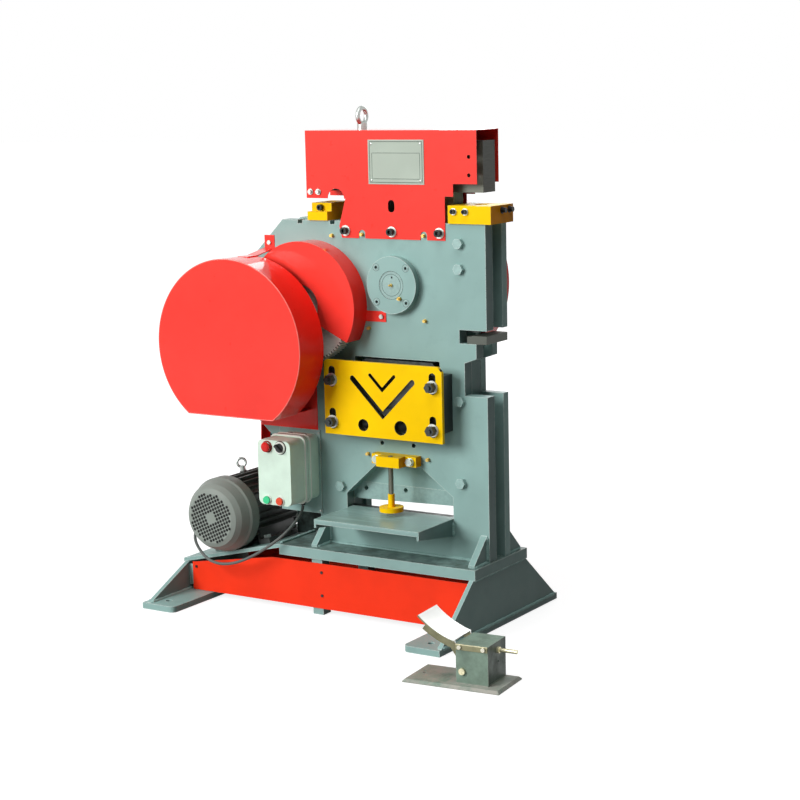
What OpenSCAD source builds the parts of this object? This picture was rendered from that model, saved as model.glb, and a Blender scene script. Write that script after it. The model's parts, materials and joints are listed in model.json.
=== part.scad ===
// Mechanical ironworker: two frame plates with a sliding ram between them, driven by a motor,
// belts, a flywheel and two gear pairs. Millimetres. The origin lies on the floor at the centre
// of the four anchor holes, with +X towards the notching throat, +Y to the back and +Z up.

/* [Frame plates] */
// Distance from the anchor centre forward to the front plate's face
plate_front = 55; // [50:1:60]
// Thickness of the front plate
front_plate_t = 35; // [30:1:38]
// Space between the two plates, where the ram slides
plate_gap = 47.5; // [46:0.5:50]
// Thickness of the rear plate
rear_plate_t = 25; // [20:1:25]
// Right edge of the plates
frame_right = 477; // [474:1:480]
// Distance from the origin to the plates' left edge
frame_left = 245; // [240:1:260]
// Height of the plates' top edge
frame_top = 1055; // [1053:0.5:1056]
// Cut corner at the top left
corner_cut = 97; // [80:1:110]
// Distance from the origin to the left edge near the base
foot_left = 50; // [45:1:60]
// Height where the lower left edge begins to slope out
slope_low = 330; // [310:1:340]
// Height where the slope meets the left edge
slope_high = 500; // [480:1:510]

/* [Notching throat] */
// Lower edge of the throat
throat_bottom = 615; // [605:1:620]
// Upper edge of the throat
throat_top = 785; // [783:1:795]
// Depth of the throat below the anvil stub
throat_low_depth = 66; // [62:1:66]
// Depth of the slot above the anvil stub
throat_high_depth = 80; // [75:1:82]
// Distance from the right edge to the end of the anvil stub
stub_inset = 31; // [28:1:34]
// Underside of the anvil stub
stub_low = 712; // [708:1:718]
// Top of the anvil stub
stub_high = 750; // [746:1:750]
// Height of the bar that carries the notching edge
notch_die_h = 21; // [18:0.5:22]

/* [Base] */
// Height of the base plate's top
base_top = 183; // [180:1:186]
// Thickness of the base plate
base_t = 28; // [24:1:30]
// Distance from the origin to the base plate's left end
base_left = 132; // [125:1:140]
// Right end of the base plate
base_right = 482; // [480:1:490]
// Distance from the origin to the base plate's front edge
base_front = 140; // [138:1:145]
// Rear edge of the base plate
base_rear = 134; // [130:1:140]
// Spacing of the anchor holes from left to right
anchor_x = 845; // [840:1:850]
// Distance of the anchor holes from the ends of the foot pads
anchor_inset = 48; // [40:1:56]
// Radius of the anchor holes
anchor_r = 9; // [7:0.5:11]
// Width of a foot pad
pad_w = 108; // [100:1:112]
// Length of a foot pad
pad_l = 622; // [600:2:640]
// Thickness of a foot pad
pad_t = 17; // [14:0.5:20]
// Thickness of the end plates
end_plate_t = 12; // [10:0.5:14]
// Distance from the pad's outer edge in to the left end plate
left_end_inset = 13; // [8:1:18]
// Height of the gussets above the base plate
gusset_h = 71; // [55:1:80]
// Thickness of the gussets
gusset_t = 18; // [12:1:20]
// Width of a middle leg
leg_w = 33; // [28:1:38]
// Thickness of the red front panel
panel_t = 2; // [1.5:0.5:3]
// Gap between the floor and the panel
panel_low = 18; // [15:1:24]
// Top edge of the panel
panel_high = 144; // [138:1:150]

/* [Motor] */
// Slope of the motor plate
motor_tilt = 13.2; // [12:0.1:14]
// Thickness of the motor plate
motor_plate_t = 10; // [8:1:12]
// Distance along the slope from the base plate to the motor's feet
motor_along = 168.5; // [165:0.5:175]
// Height of the motor shaft above its feet
motor_height = 104; // [103:0.5:108]
// Radius of the motor's core
motor_core_r = 84; // [78:1:86]
// Radius over the cooling fins
motor_fin_r = 97; // [92:1:98]
// Number of cooling fins
motor_fins = 28; // [20:1:32]
// Rear radius of the fan cowl
cowl_r = 103.5; // [101:0.5:103.5]
// Length of the fan cowl
cowl_l = 84; // [75:1:88]
// Front face of the fan cowl, before the anchor centre
cowl_front = 195; // [190:1:200]
// Radius of the motor shaft
motor_shaft_r = 14; // [12:0.5:16]

/* [Drive] */
// Position of the eccentric shaft from left to right
eccentric_x = 207; // [204:0.5:210]
// Height of the eccentric shaft
eccentric_z = 894; // [890:0.5:898]
// Throw of the eccentric, half the ram's stroke
throw = 15; // [10:0.5:15]
// Radius of the eccentric shaft
eccentric_shaft_r = 35; // [32:0.5:36]
// Radius of the eccentric journal
journal_r = 53; // [52:0.5:54]
// Direction from the eccentric shaft to the intermediate shaft
rear_mesh_angle = 193.15; // [192:0.05:194]
// Direction from the intermediate shaft to the flywheel shaft
front_mesh_angle = 214.65; // [213:0.05:216]
// Module of the rear gear pair
rear_module = 5; // [4.9:0.05:5]
// Teeth of the rear pinion
rear_pinion_teeth = 25; // [25:1:26]
// Teeth of the main gear
main_gear_teeth = 82; // [80:1:82]
// Module of the front gear pair
front_module = 3; // [2.9:0.05:3]
// Teeth of the front pinion
front_pinion_teeth = 20; // [20:1:22]
// Teeth of the intermediate gear
front_gear_teeth = 100; // [96:1:102]
// Width of the front gears
front_gear_w = 40; // [34:1:42]
// Width of the rear gears
rear_gear_w = 46; // [40:1:48]
// Radius of the intermediate and flywheel shafts
shaft_r = 25; // [22:0.5:26]
// Wall of the shaft bushes
bush_wall = 11; // [8:0.5:12]
// Radius of the flywheel
flywheel_r = 176; // [160:1:178]
// Width of the flywheel
flywheel_w = 80; // [70:1:84]
// Radius of the large belt pulley
pulley_r = 150; // [140:1:150]
// Radius of the motor pulley
motor_pulley_r = 50; // [45:1:52]
// Width of the belt pulleys
pulley_w = 44; // [42:1:46]
// Width of one belt
belt_w = 12; // [10:0.5:13]

/* [Ram] */
// Left guide face of the ram
guide_left = 37; // [35:0.5:38]
// Right guide face of the ram
guide_right = 366; // [364:0.5:368]
// Sliding clearance on each side of the ram
ram_clear = 0.4; // [0.3:0.05:0.8]
// Height of the ram head's underside
head_low = 1132; // [1132:0.5:1136]
// Height of the ram head
head_h = 130; // [120:1:132]
// Depth of the ram head from front to back
head_d = 60; // [54:1:64]

/* [Flat bar shear] */
// Height of the shear table
bed_top = 289; // [286:0.5:289]
// Thickness of the table sheet
table_t = 8; // [6:0.5:10]
// Distance from the frame to the table's front lip
table_reach = 171; // [150:1:180]
// Height of the front lip
lip_h = 13; // [10:1:16]
// Left side of the plate's cut-out
cutout_left = 38; // [37:0.5:42]
// Right side of the plate's cut-out
cutout_right = 370; // [368:0.5:372]
// Top of the plate's cut-out
cutout_top = 415; // [412:0.5:416]
// Left end of the raked upper blade's edge
rake_left = 305; // [304:0.5:308]
// Right end of the raked upper blade's edge
rake_right = 314; // [312:0.5:316]
// Height of the upper flat blade's seat on the ram
blade_seat = 352; // [350:1:360]
// Underside of the hold-down bracket
bracket_low = 420; // [420:0.5:424]
// Height of the hold-down bracket
bracket_h = 27; // [24:0.5:28]
// Radius of the hold-down screw
screw_r = 7; // [6:0.5:8]
// Radius of the hold-down pad
pad_disc_r = 32; // [26:1:34]
// Gap from the table to the pad
pad_gap = 12; // [12:0.5:16]

/* [Angle and bar shear] */
// Middle of the angle slot from left to right
vee_x = 198; // [196:0.5:200]
// Left edge of the guide plate
guide_plate_left = 16; // [12:1:18]
// Right edge of the guide plate
guide_plate_right = 379; // [376:1:384]
// Lower edge of the guide plate
guide_plate_low = 497; // [494:1:500]
// Upper edge of the guide plate
guide_plate_high = 695; // [690:1:697]
// Thickness of the guide plate
guide_plate_t = 10; // [8:0.5:12]
// Depth of the die block before the frame
die_block_d = 44; // [40:1:48]
// Space between the die block and the guide plate
guide_standoff = 8; // [6:0.5:10]
// Height of the large slot's point
big_vee_z = 558; // [555:0.5:560]
// Sideways reach of the large slot's arms
big_vee_arm = 92; // [85:1:94]
// Width of the large slot
big_vee_w = 15; // [12:0.5:16]
// Height of the small slot's point
small_vee_z = 625; // [622:0.5:630]
// Sideways reach of the small slot's arms
small_vee_arm = 37; // [30:1:38]
// Width of the small slot
small_vee_w = 9; // [6:0.5:10]
// Radius of the small round bar hole
small_bar_r = 12; // [9:0.5:12]
// Radius of the large round bar hole
large_bar_r = 15; // [12:0.5:15]

/* [Punch stations] */
// Height of the right die block
right_die_h = 46; // [42:0.5:46]
// Height of the left die block
left_die_h = 45; // [42:0.5:46]
// Radius of the right die seat
right_die_r = 20; // [16:0.5:22]
// Radius of the left die seat
left_die_r = 14; // [10:0.5:16]

/* [Covers] */
// Thickness of the cover sheets
sheet_t = 2; // [1.5:0.25:2.5]
// Top of the top cover
cover_top = 1290; // [1288:1:1296]
// Distance from the origin to the top cover's left end
cover_left = 65; // [62:1:70]
// Right end of the top cover
cover_right = 456; // [454:1:460]
// Space round the flywheel inside its guard
flywheel_space = 57; // [52:1:60]
// Space under the flywheel to the guard's flat underside
flywheel_under = 10.8; // [10:0.2:14]
// Depth of the flywheel guard
flywheel_guard_d = 108; // [106:1:112]
// Front face of the flywheel guard, before the anchor centre
flywheel_guard_front = 245; // [244:1:250]
// Radius of the gear guard
gear_guard_r = 170; // [168:1:175]
// Depth of the gear guard before the frame
gear_guard_d = 62; // [60:1:66]
// Radius of the rear gear guard
rear_guard_r = 240; // [239:1:246]
// Rear face of the rear gear guard
rear_guard_back = 118; // [117:1:126]
// Radius of the belt guard round the large pulley
belt_guard_r = 172; // [170:1:176]
// Rear face of the belt guard
belt_guard_back = 206; // [205:1:212]

/* [Control box] */
// Left side of the control box, left of the origin
box_left = 157; // [154:1:160]
// Width of the control box
box_w = 106; // [100:1:108]
// Underside of the control box
box_low = 303; // [298:1:308]
// Height of the control box
box_h = 176; // [170:1:180]
// Depth of the box body
box_body_d = 54; // [50:1:60]
// Depth of the sealing rim
box_rim_d = 26; // [20:1:30]
// Depth of the lid
box_lid_d = 50; // [46:1:56]
// Corner radius of the box
box_corner = 16; // [10:1:18]
// Thickness of the mounting panel
mount_panel_t = 3; // [2:0.5:4]
// Outer diameter of the motor cable
cable_d = 8; // [7:0.5:9]

/* [Foot pedal] */
// Position of the pedal from left to right
pedal_x = 618; // [610:1:640]
// Distance of the pedal before the origin
pedal_front = 441; // [435:1:460]
// Turn of the pedal on the floor
pedal_turn = 5; // [0:0.5:10]
// Length of the pedal's base plate
pedal_l = 254; // [245:1:265]
// Width of the pedal's base plate
pedal_w = 134; // [128:1:145]
// Thickness of the pedal's base plate
pedal_t = 8; // [6:0.5:10]
// Width of the pedal housing
housing_w = 84; // [80:1:90]
// Depth of the pedal housing
housing_d = 100; // [94:1:104]
// Height of the pedal housing's top
housing_top = 105; // [100:1:112]
// Wall of the pedal housing
housing_wall = 3; // [2:0.5:4]
// Slope of the treadle
treadle_angle = 30; // [27:1:32]
// Length of the treadle
treadle_l = 106; // [98:1:112]

/* [Hidden] */
$fn = 64;

// Finishes
frame_paint = "#8FAFAC";
guard_red = "#F0463C";
panel_red = "#FA4126";
die_yellow = "#FFD20A";
dark_steel = "#3C4240";
bright_steel = "#B9BDB8";
brass = "#C9B26A";
box_green = "#DCEEE4";

// Margin by which cuts run past the faces they open
over = 1;
// Radial running clearance of the shafts
run_fit = 0.05;
// Clearance between pieces that stand in one another without moving
seat_fit = 0.1;

// Faces of the plates from front to back
y_front = -plate_front;
y_gap = y_front + front_plate_t;
y_rear = y_gap + plate_gap;
y_back = y_rear + rear_plate_t;
gap_mid = (y_gap + y_rear) / 2;

// Places on the plates
x_left = -frame_left;
low_edge = frame_right - throat_low_depth;
slot_edge = frame_right - throat_high_depth;
stub_edge = frame_right - stub_inset;
throat_mid = stub_low - 12;

// Shaft axes
function polar(r, a) = [r * cos(a), r * sin(a)];
rear_centres = rear_module * (rear_pinion_teeth + main_gear_teeth) / 2;
front_centres = front_module * (front_pinion_teeth + front_gear_teeth) / 2;
eccentric_at = [eccentric_x, eccentric_z];
intermediate_at = eccentric_at + polar(rear_centres, rear_mesh_angle);
flywheel_at = intermediate_at + polar(front_centres, front_mesh_angle);
bush_r = shaft_r + bush_wall;
bush_flange_r = bush_r + 13;
bush_flange_t = 6;
eccentric_bush_r = eccentric_shaft_r + 15;
flange_r = 75;
flange_t = 22;
rear_flange_t = 8;
flange_screw_off = 45;

// Gear faces
front_gear_back = y_front - bush_flange_t - 5;
front_gear_front = front_gear_back - front_gear_w;
rear_gear_front = y_back + rear_flange_t + 3.5;
rear_gear_back = rear_gear_front + rear_gear_w;
pulley_front = rear_guard_back + 22;
pulley_back = pulley_front + pulley_w;
flywheel_front = -flywheel_guard_front + sheet_t + 10;
flywheel_back = flywheel_front + flywheel_w;

// Base
base_low = base_top - base_t;
pad_x = anchor_x / 2;
anchor_y = pad_l - 2 * anchor_inset;
left_end_x = -pad_x - pad_w / 2 + left_end_inset;
right_end_x = pad_x + pad_w / 2 - end_plate_t;
panel_y = -base_front + 6;
// Height of the sloping plate's top face, and its thickness measured upright
function slope_z(x) = base_top - tan(motor_tilt) * (-base_left - x);
wedge_left = -base_left - 58;
motor_plate_drop = motor_plate_t / cos(motor_tilt);
motor_plate_left = left_end_x - 4;
left_end_top = slope_z(left_end_x) - motor_plate_drop;
leg_left = -30;

// Motor axis, square above its feet on the sloping plate
motor_x = -base_left - motor_along * cos(motor_tilt) - motor_height * sin(motor_tilt);
motor_z = base_top - motor_along * sin(motor_tilt) + motor_height * cos(motor_tilt);
motor_at = [motor_x, motor_z];
motor_front = -cowl_front + cowl_l;
motor_back = pulley_front - 12;
foot_bolt_off = [70, 80];
foot_bolt_r = 6;

// Ram
ram_left = guide_left + ram_clear;
ram_right = guide_right - ram_clear;
ram_front = y_gap + ram_clear;
ram_back = y_rear - ram_clear;
stroke = 2 * throw;
block_w = 2 * journal_r + 26;
block_h = 2 * journal_r + 18;
block_t = plate_gap - 4;
window_w = block_w + 2 * throw + 4;
window_low = eccentric_z - throw - block_h / 2 - 2;
window_high = eccentric_z + throw + block_h / 2 + stroke + 2;
head_left = -cover_left + 7;
head_right = cover_right + 1;

// Bolts that hold the plates together, by x and z
frame_bolt_r = 8;
frame_bolts = [
    [guide_right + 34, frame_top - 50],
    [guide_right + 34, frame_top - 115],
    [guide_right + 31, throat_bottom - 15],
    [guide_right + 31, base_top + 203],
    [guide_left - 16, base_top + 161]
];
spacer_w = 55;
upper_spacer_low = 900;

// Flat bar shear
cutout_low = bed_top - 39;
table_left = cutout_left + 9;
table_right = cutout_right - 1;
bed_blade_t = 20;
skirt_t = 6;
bracket_x = 205.5;
bracket_ear_t = 26;
bracket_block_w = 71;
bracket_ear_w = 137;
bracket_reach = 57;
spindle_y = y_front - 41;
bracket_bolt_off = 51.5;
bracket_bolt_r = 6;
pad_low = bed_top + pad_gap;

// Angle shear
die_block_front = y_front - die_block_d;
guide_back = die_block_front - guide_standoff;
guide_front = guide_back - guide_plate_t;
die_block_left = guide_plate_left + 3;
die_block_right = guide_plate_right - 6;
die_block_low = guide_plate_low + 8;
die_block_high = guide_plate_high - 25;
window_left = vee_x - 124;
window_right = vee_x + 138;
angle_window_low = die_block_low;
angle_window_high = guide_plate_high + 4;
stud_r = 6;
stud_x = [guide_plate_left + 25, guide_plate_right - 28.5];
stud_z = [guide_plate_low + 34, guide_plate_high - 52];
stud_slot = 56;
stud_slot_w = 20;
small_bar_at = [vee_x - 61, guide_plate_low + 31];
large_bar_at = [vee_x + 54.5, guide_plate_low + 32];
bar_cut_z = large_bar_at[1] + large_bar_r + 2;
vee_angle = 45;

// Punch stations
right_die_left = 372;
right_die_right = 497;
left_die_left = -61;
left_die_right = 2;
die_front = y_front - 6;
die_back = y_back + 1.5;
right_die_x = 434;
left_die_x = -29;
die_step = 23;
punch_socket_r = 16;

// Top cover
cover_front = y_front - sheet_t;
cover_back = y_back + sheet_t;
cover_low = 1011;
cover_bolt_z = cover_low + 19;
cover_bolt_x = [57, 200, 344];
nipple_notch_x = [108, 297];
cover_screws = [[-51, 1130], [-26, 1130]];
cover_holes = [[433, 1223], [433, 1177]];
eye_x = 79;
eye_y = 0;
name_low = 1152;
name_h = 114;
name_left = 133;
name_w = 169;

// Guards
flywheel_guard_r = flywheel_r + flywheel_space;
flywheel_guard_low = flywheel_at[1] - flywheel_r - flywheel_under;
gear_clear_r = flywheel_guard_r - 25;
gear_eye_r = 56;
strap_tab = [-208, -176];
strap_tab_z = [976, 1012];
back_sheet_right = -51;
mount_panel_low = box_low - 43;
mount_panel_high = box_low + box_h + 11;
mount_panel_left = -178;
mount_panel_right = -43;
guard_tab = [141, 176];
guard_tab_z = [794, 822];
belt_guard_front = pulley_front - 6;
belt_guard_small_r = belt_guard_r - pulley_r + motor_pulley_r;
belt_post_r = belt_guard_r - 7.5;
belt_posts = [polar(belt_post_r, 90), polar(belt_post_r, -12), polar(belt_post_r + 24.5, -55)];
rear_tab_angles = [230, 310, 20];
rear_lobe_r = rear_module * (rear_pinion_teeth / 2 + 1) + 16;
rear_rim_front = cover_back + 0.5;
guard_screws = [
    [(strap_tab[0] + strap_tab[1]) / 2, 992],
    [(guard_tab[0] + guard_tab[1]) / 2 + 4, (guard_tab_z[0] + guard_tab_z[1]) / 2]
];

// Control box
box_back = y_front - mount_panel_t;
box_rim_back = box_back - box_body_d;
box_lid_back = box_rim_back - box_rim_d;
box_front = box_lid_back - box_lid_d;
box_mid_x = -box_left + box_w / 2;
box_mid_z = box_low + box_h / 2;
button_row = box_low + 13;
switch_row = box_low + box_h - 18;
button_x = [-box_left + 28, -box_left + 70];
switch_x = [-box_left + 32, -box_left + 75];
button_fit = 0.3;
button_stem_r = 8;
gland_at = [-86, box_rim_back + 26];

// Motor terminal box, in the motor's own tilted frame
terminal_x = [-motor_fin_r - 48, -motor_fin_r - 3];
terminal_y = [-45, 45];
terminal_z = [-30, 40];
terminal_gland_at = [(terminal_x[0] + terminal_x[1]) / 2, 0];

// Route of the motor cable from the control box to the motor
cable_route = [
    [-86, -87, 284], [-86, -93, 270], [-87, -113, 252], [-93, -139, 232], [-110, -161, 209],
    [-140, -176, 184], [-180, -184, 158], [-220, -189, 138], [-256, -192, 126], [-291, -193, 121],
    [-322, -192, 124], [-348, -188, 133], [-370, -181, 145], [-391, -170, 158], [-409, -155, 170],
    [-422, -137, 181], [-430, -118, 192], [-435, -100, 202], [-437, -84, 211], [-439, -71, 216],
    [-439, -63, 217]
];
cable_sides = 10;

// Foot pedal, in its own turned frame
housing_left = 6;
housing_right = housing_left + housing_w;
housing_front = -housing_d / 2 + 6;
housing_back = housing_d / 2 + 6;
pivot_x = 23;
pivot_z = 39;
pivot_r = 5;
treadle_low = [housing_left - 6, housing_top + 5];
treadle_w = housing_d - 2 * housing_wall - 4;
treadle_bend = 14;
treadle_r = treadle_l / (2 * sin(treadle_bend));
treadle_end = 270 - treadle_angle + treadle_bend;
treadle_centre = treadle_low - polar(treadle_r, treadle_end);

// Grease nipples on the front plate, by x and z
nipples = [[13, 1016], [108, 1021], [297, 1022], [296, 803], [123, 776], [110, 439], [297, 439]];
nipple_r = 4;
flange_nipple_at = eccentric_at + polar(43, -52);

// Shared shapes
module between(a, b) translate(a) cube(b - a);

module upright(y0, y1) translate([0, y1, 0]) rotate([90, 0, 0]) linear_extrude(y1 - y0) children();

module sideways(x0, x1) translate([x0, 0, 0]) rotate([90, 0, 90]) linear_extrude(x1 - x0) children();

module rod_x(p, r, x0, x1) translate([x0, p[0], p[1]]) rotate([0, 90, 0]) cylinder(r = r, h = x1 - x0);

module rod_y(p, r, y0, y1) translate([p[0], y0, p[1]]) rotate([-90, 0, 0]) cylinder(r = r, h = y1 - y0);

module rod_z(p, r, z0, z1) translate([p[0], p[1], z0]) cylinder(r = r, h = z1 - z0);

module hex_y(p, across, y0, y1)
    translate([p[0], y0, p[1]])
    rotate([-90, 0, 0])
    cylinder(d = across / cos(30), h = y1 - y0, $fn = 6);

module spot(p, r) translate(p) circle(r);

module rounded(w, h, r) {
    square([w - 2 * r, h], center = true);
    square([w, h - 2 * r], center = true);
    for (sx = [-1, 1], sz = [-1, 1]) translate([sx * (w / 2 - r), sz * (h / 2 - r)]) circle(r);
}

module slot(p, w, l) {
    translate(p) square([w, l - w], center = true);
    for (s = [-1, 1]) translate([p[0], p[1] + s * (l - w) / 2]) circle(w / 2);
}

// V slot of two arms at 45 degrees, with a sharp point and round ends
module vee(p, arm, w) {
    length = arm / sin(vee_angle);
    for (s = [-1, 1])
        translate(p) rotate(90 + s * vee_angle) {
            translate([-w / 2, -w / 2]) square([length + w / 2, w]);
            translate([length, 0]) circle(w / 2);
        }
}

// Socket head screw along Y with its washer, head forward
module socket_screw(p, y, r, washer_r, washer_t, depth) {
    difference() {
        rod_y(p, r * 1.6, y - washer_t - 2 * r, y - washer_t);
        hex_y(p, r * 1.6, y - washer_t - 2 * r - over, y - washer_t - r);
    }
    rod_y(p, washer_r, y - washer_t, y);
    rod_y(p, r, y - washer_t, y + depth);
}

// Involute gear outline; half the tooth angle at a radius follows the involute
pressure_angle = 20;
tooth_play = 0.08;
function involute(a) = tan(a) * 180 / PI - a;
function tooth_half(r, m, z) =
    90 / z - tooth_play * 180 / (PI * z)
    + involute(pressure_angle) - involute(acos(min(1, m * z / 2 * cos(pressure_angle) / r)));
function tooth_radii(m, z) =
    let (root = m * (z / 2 - 1.25), tip = m * (z / 2 + 1))
    let (start = max(root, m * z / 2 * cos(pressure_angle)))
    [root, start + 0.01, (2 * start + tip) / 3, (start + 2 * tip) / 3, tip];
function tooth_flank(m, z, centre, side) =
    [for (r = tooth_radii(m, z)) polar(r, centre + side * tooth_half(max(r, tooth_radii(m, z)[1]), m, z))];
function reversed(v) = [for (i = [len(v) - 1 : -1 : 0]) v[i]];
function gear_points(m, z, phase) = [
    for (i = [0 : z - 1])
        each concat(
            tooth_flank(m, z, phase + 360 * i / z, -1),
            reversed(tooth_flank(m, z, phase + 360 * i / z, 1))
        )
];

module gear(p, m, z, phase, y0, y1) upright(y0, y1) translate(p) polygon(gear_points(m, z, phase));

// Outline that runs round both pulleys, with straight tangents between them
module pulley_loop(big_r, small_r) {
    way = motor_at - flywheel_at;
    heading = atan2(way[1], way[0]);
    lean = acos((big_r - small_r) / norm(way));
    spot(flywheel_at, big_r);
    spot(motor_at, small_r);
    polygon([
        flywheel_at + polar(big_r, heading + lean),
        flywheel_at + polar(big_r, heading - lean),
        motor_at + polar(small_r, heading - lean),
        motor_at + polar(small_r, heading + lean)
    ]);
}

module motor_place() translate([motor_x, 0, motor_z]) rotate([0, -motor_tilt, 0]) children();

module pedal_place() translate([pedal_x, -pedal_front, 0]) rotate([0, 0, pedal_turn]) children();

// Frame plates
module plate_outline() {
    polygon([
        [-foot_left, base_top], [frame_right, base_top], [frame_right, throat_bottom],
        [low_edge, throat_bottom], [low_edge, throat_mid], [stub_edge, stub_low], [stub_edge, stub_high],
        [slot_edge, stub_high], [slot_edge, throat_top], [frame_right, throat_top],
        [frame_right, frame_top], [x_left + corner_cut, frame_top], [x_left, frame_top - corner_cut],
        [x_left, slope_high], [-foot_left, slope_low]
    ]);
}

module shaft_holes() {
    spot(eccentric_at, eccentric_bush_r + seat_fit);
    spot(intermediate_at, bush_r + seat_fit);
    spot(flywheel_at, bush_r + seat_fit);
    for (p = frame_bolts) spot(p, frame_bolt_r + seat_fit);
}

module flat_cutout() {
    polygon([
        [cutout_left, cutout_low], [cutout_right, cutout_low], [cutout_right, bed_top + 56],
        [bracket_x + bracket_ear_w / 2, cutout_top], [bracket_x - bracket_ear_w / 2, cutout_top],
        [cutout_left, bed_top + 37]
    ]);
}

module bar_holes(extra) {
    spot(small_bar_at, small_bar_r + extra);
    spot(large_bar_at, large_bar_r + extra);
}

module plate_front_holes() {
    for (s = [-1, 1])
        spot([bracket_x + s * bracket_bolt_off, bracket_low + bracket_h / 2], bracket_bolt_r + seat_fit);
    for (x = [bracket_x - 51.5, bracket_x + 46.5]) spot([x, bracket_low + 52], 6);
    for (x = stud_x, z = stud_z) spot([x, z], stud_r + seat_fit);
    for (x = cover_bolt_x) spot([x, cover_bolt_z], 6 + seat_fit);
    for (p = nipples) spot(p, nipple_r + seat_fit);
    for (p = guard_screws) spot(p, 3 + seat_fit);
    for (sx = [-1, 1], sz = [-1, 1])
        spot(eccentric_at + flange_screw_off * [sx, sz], 5 + seat_fit);
}

module front_plate() color(frame_paint) upright(y_front, y_gap) difference() {
    plate_outline();
    shaft_holes();
    flat_cutout();
    translate([window_left, angle_window_low])
        square([window_right - window_left, angle_window_high - angle_window_low]);
    plate_front_holes();
    for (x = [-98, 6]) translate([x, frame_top - 10]) square([15, 10 + over]);
}

module rear_plate() color(frame_paint) upright(y_rear, y_back) difference() {
    union() {
        plate_outline();
        polygon([
            [-base_left, base_top], [-foot_left + 1, base_top], [-foot_left + 1, slope_low],
            [-base_left, slope_low + 70], [wedge_left, slope_low - 60], [wedge_left, slope_z(wedge_left)]
        ]);
    }
    shaft_holes();
    translate([cutout_left + 7, bed_top - 34]) square([cutout_right - cutout_left - 10, 80]);
    translate([window_left + 18, angle_window_low - 3])
        square([window_right - window_left - 50, angle_window_high - angle_window_low - 13]);
}

module plate_spacers() color(frame_paint) difference() {
    union() {
        between([guide_left - spacer_w, y_gap, base_top], [guide_left, y_rear, frame_top]);
        between([guide_right, y_gap, base_top], [low_edge - 1, y_rear, throat_mid]);
        between([guide_right, y_gap, upper_spacer_low], [guide_right + spacer_w + 9, y_rear, frame_top]);
    }
    for (p = frame_bolts) rod_y(p, frame_bolt_r + seat_fit, y_gap - over, y_rear + over);
}

module hex_bolts() color(bright_steel) {
    for (p = frame_bolts) {
        hex_y(p, 24, y_front - 11, y_front);
        rod_y(p, frame_bolt_r, y_front - over, y_back + over);
        hex_y(p, 24, y_back, y_back + 9);
    }
    for (s = [-1, 1]) {
        p = [bracket_x + s * bracket_bolt_off, bracket_low + bracket_h / 2];
        hex_y(p, 18, y_front - bracket_ear_t - 11, y_front - bracket_ear_t - 3);
        rod_y(p, 11, y_front - bracket_ear_t - 3, y_front - bracket_ear_t);
        rod_y(p, bracket_bolt_r, y_front - bracket_ear_t - over, y_front + 22);
    }
    motor_place() for (sx = [-1, 1], sy = [-1, 1])
        translate([sx * foot_bolt_off[1], sy * foot_bolt_off[0], -motor_height]) {
        translate([0, 0, 14]) cylinder(d = 18 / cos(30), h = 8, $fn = 6);
        translate([0, 0, -motor_plate_t - 8]) cylinder(r = foot_bolt_r, h = motor_plate_t + 8 + 14 + over);
        translate([0, 0, -motor_plate_t - 8]) cylinder(d = 18 / cos(30), h = 8, $fn = 6);
    }
}

module base_plate() color(frame_paint)
    between([-base_left, -base_front, base_low], [base_right, base_rear, base_top]);

module gusset(x, y, side) sideways(x, x + gusset_t) polygon([
    [y, base_top], [y + side * 67, base_top], [y + side * 67, base_top + 6], [y, base_top + gusset_h]
]);

module base_legs() color(frame_paint) {
    sideways(right_end_x, right_end_x + end_plate_t)
        polygon([
            [-pad_l / 2 + 10, pad_t], [pad_l / 2 - 10, pad_t], [base_rear, base_low], [-base_front, base_low]
        ]);
    difference() {
        sideways(left_end_x, left_end_x + end_plate_t)
            polygon([
                [-pad_l / 2 + 5, pad_t], [pad_l / 2 - 5, pad_t],
                [124, left_end_top + 5], [-124, left_end_top + 5]
            ]);
        upright(-pad_l, pad_l) polygon([
            [left_end_x - end_plate_t, slope_z(left_end_x - end_plate_t) - motor_plate_drop],
            [left_end_x + 2 * end_plate_t, slope_z(left_end_x + 2 * end_plate_t) - motor_plate_drop],
            [left_end_x + 2 * end_plate_t, base_top], [left_end_x - end_plate_t, base_top]
        ]);
    }
    for (y = [panel_y + panel_t, base_rear - 45])
        between([leg_left, y, 0], [leg_left + leg_w, y + 35, base_low]);
    for (x = [-foot_left + 13, frame_right - 7 - gusset_t]) {
        gusset(x, y_front, -1);
        gusset(x, y_back, 1);
    }
    between(
        [left_end_x + end_plate_t, panel_y + panel_t, 30],
        [left_end_x + end_plate_t + 32, panel_y + panel_t + 5, 88]
    );
}

module foot_pads() color(frame_paint) for (s = [-1, 1]) difference() {
    translate([s * pad_x, 0, 0]) linear_extrude(pad_t) {
        rounded(pad_w, pad_l, 16);
        translate([s * pad_w / 4, 0]) square([pad_w / 2, pad_l], center = true);
    }
    for (t = [-1, 1]) rod_z([s * pad_x, t * anchor_y / 2], anchor_r, -over, pad_t + over);
}

module motor_plate() color(frame_paint) difference() {
    upright(-base_front + 4, base_rear - 4) polygon([
        [-base_left, slope_z(-base_left)], [motor_plate_left, slope_z(motor_plate_left)],
        [motor_plate_left, slope_z(motor_plate_left) - motor_plate_drop],
        [-base_left, base_top - motor_plate_drop]
    ]);
    motor_place() for (sx = [-1, 1], sy = [-1, 1])
        translate([sx * foot_bolt_off[1], sy * foot_bolt_off[0], -motor_height - motor_plate_t - over])
        cylinder(r = foot_bolt_r + seat_fit, h = motor_plate_t + 2 * over);
}

panel_screws = [[-425, 84], [2, 118], [2, 54], [right_end_x - 14, 122]];

module panel_outline() polygon([
    [left_end_x + end_plate_t + 13, panel_low], [right_end_x, panel_low], [right_end_x, panel_high],
    [-159, panel_high - 2], [left_end_x + end_plate_t + 20, left_end_top + 2],
    [left_end_x + end_plate_t + 13, left_end_top + 2]
]);

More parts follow.
